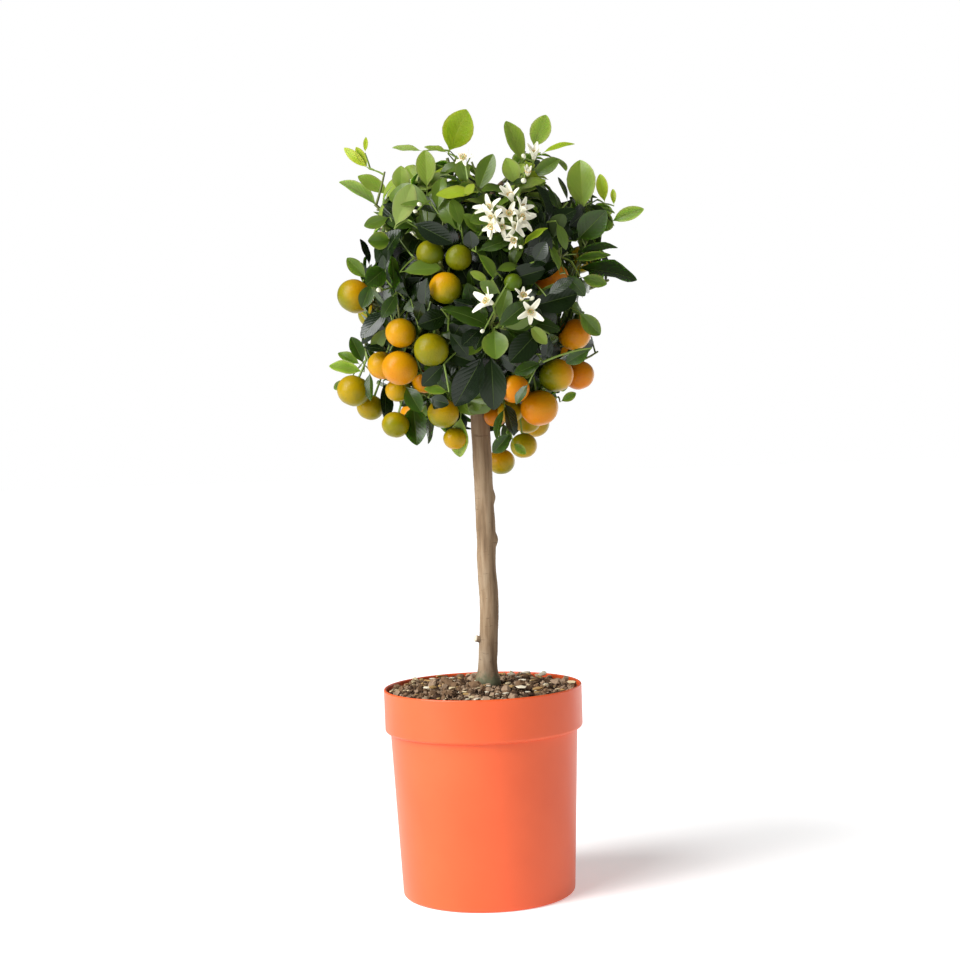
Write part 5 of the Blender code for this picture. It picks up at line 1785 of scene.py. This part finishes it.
def make_flower_hearts(plant):
    """Stamens with their anthers, and a pistil on its green seat, in all flowers."""
    stamens = []
    anthers = []
    pistils = []
    for spot, way, length, _, turn in plant.flowers:
        flower_turn = way.to_track_quat("Z", "Y").to_matrix()
        for i in range(STAMENS):
            angle = turn + math.tau * i / STAMENS
            lean = Vector((math.cos(angle), math.sin(angle), 0.0)) * STAMEN_LEAN
            foot = spot + flower_turn @ (lean * 0.6)
            top = spot + flower_turn @ (lean * 1.15 + Vector((0.0, 0.0, 0.42 * length)))
            stamens.append(([foot, top], [0.0006, 0.0004]))
            anthers.append(([top, top + way * 0.0012], [0.0006, 0.0005]))
        pistils.append(([spot, spot + way * 0.48 * length], [0.0008, 0.0007]))
        pistils.append(([spot - way * 0.0022, spot + way * 0.0010], [0.0010, 0.0019]))
    for name, lines, colour, roundness in (
            ("stamens", stamens, (238, 234, 206), 0), ("anthers", anthers, (206, 170, 96), 0),
            ("pistils", pistils, (150, 160, 84), 2)):
        dress_crown(tubes(name, lines, roundness), "blossom", 60, petal_finish(name + "_skin", colour))


def make_buds(plant):
    """The closed buds."""
    lines = []
    for spot, way, size in plant.buds:
        path = [spot + way * size * share for share in BUD_SHAPE]
        lines.append((path, [size * width for width in BUD_SHAPE.values()]))
    buds = tubes("buds", lines, 3)
    apply_modifier("SUBSURF", levels=1, render_levels=1)
    dress_crown(buds, "blossom", 60, petal_finish("bud_skin", (226, 226, 200)))


# The setting


def make_floor():
    """The wide plain floor under the pot."""
    leave_all()
    bpy.ops.mesh.primitive_plane_add(size=30.0)
    floor = named("floor")
    floor.data.materials.append(floor_finish())


def make_backdrop():
    """White all round for the camera, and a weaker even light for the plant."""
    world = bpy.data.worlds.new("studio")
    world.use_nodes = True
    tree = world.node_tree
    shown = tree.nodes["Background"]
    shown.inputs["Color"].default_value = (1.0, 1.0, 1.0, 1.0)
    ray = tree.nodes.new("ShaderNodeLightPath").outputs["Is Camera Ray"]
    level = tree.nodes.new("ShaderNodeMapRange")
    level.inputs["To Min"].default_value = AMBIENT
    tree.links.new(ray, level.inputs["Value"])
    tree.links.new(level.outputs["Result"], shown.inputs["Strength"])
    bpy.context.scene.world = world


def set_lights():
    """A broad sun from the left and three soft lights."""
    bpy.ops.object.light_add(type="SUN", location=(-2.0, -1.5, 3.0))
    sun = bpy.context.object
    sun.name = "sun"
    sun.data.energy = SUN_POWER
    sun.data.angle = SUN_SPREAD
    sun.rotation_euler = SUN_WAY.to_track_quat("-Z", "Y").to_euler()
    for name, (place, size, power) in SOFT_LIGHTS.items():
        bpy.ops.object.light_add(type="AREA", location=place)
        light = bpy.context.object
        light.name = name
        light.data.size = size
        light.data.energy = power
        light.rotation_euler = (LIT_MIDDLE - Vector(place)).to_track_quat("-Z", "Y").to_euler()


def set_camera():
    """The camera at the picture's angle, and plain colours."""
    bpy.ops.object.camera_add(location=CAMERA_PLACE)
    camera = bpy.context.object
    camera.rotation_euler = CAMERA_TURN.to_euler()
    camera.data.lens = CAMERA_LENS
    camera.data.sensor_width = SENSOR_WIDTH
    bpy.context.scene.camera = camera
    bpy.context.scene.view_settings.view_transform = "Standard"


def grow_plant():
    """Let all that the crown holds take its place: fruit, blossom and shown leaves come first."""
    plant = Plant()
    keep_trunk_open(plant)
    for name in MASS_CENTRES:
        if name != LEADER_MASS:
            plant.add_limb(bough_path(name)[BOUGH_BARE_STEPS:])
    twigs = grow_stems(plant)
    twigs += hang_fruits(plant)
    set_blossoms(plant)
    set_shown_leaves(plant)
    grow_leaves(plant, twigs)
    return plant


def main():
    """Dress the whole plant and its pot."""
    leave_all()
    make_pot()
    make_soil()
    make_soil_cover()
    make_trunk()
    plant = grow_plant()
    make_boughs()
    make_twigs(plant)
    make_leaves(plant)
    make_fruits(plant)
    make_calyxes(plant)
    make_petals(plant)
    make_flower_hearts(plant)
    make_buds(plant)
    make_floor()
    make_backdrop()
    set_lights()
    set_camera()


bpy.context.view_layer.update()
main()
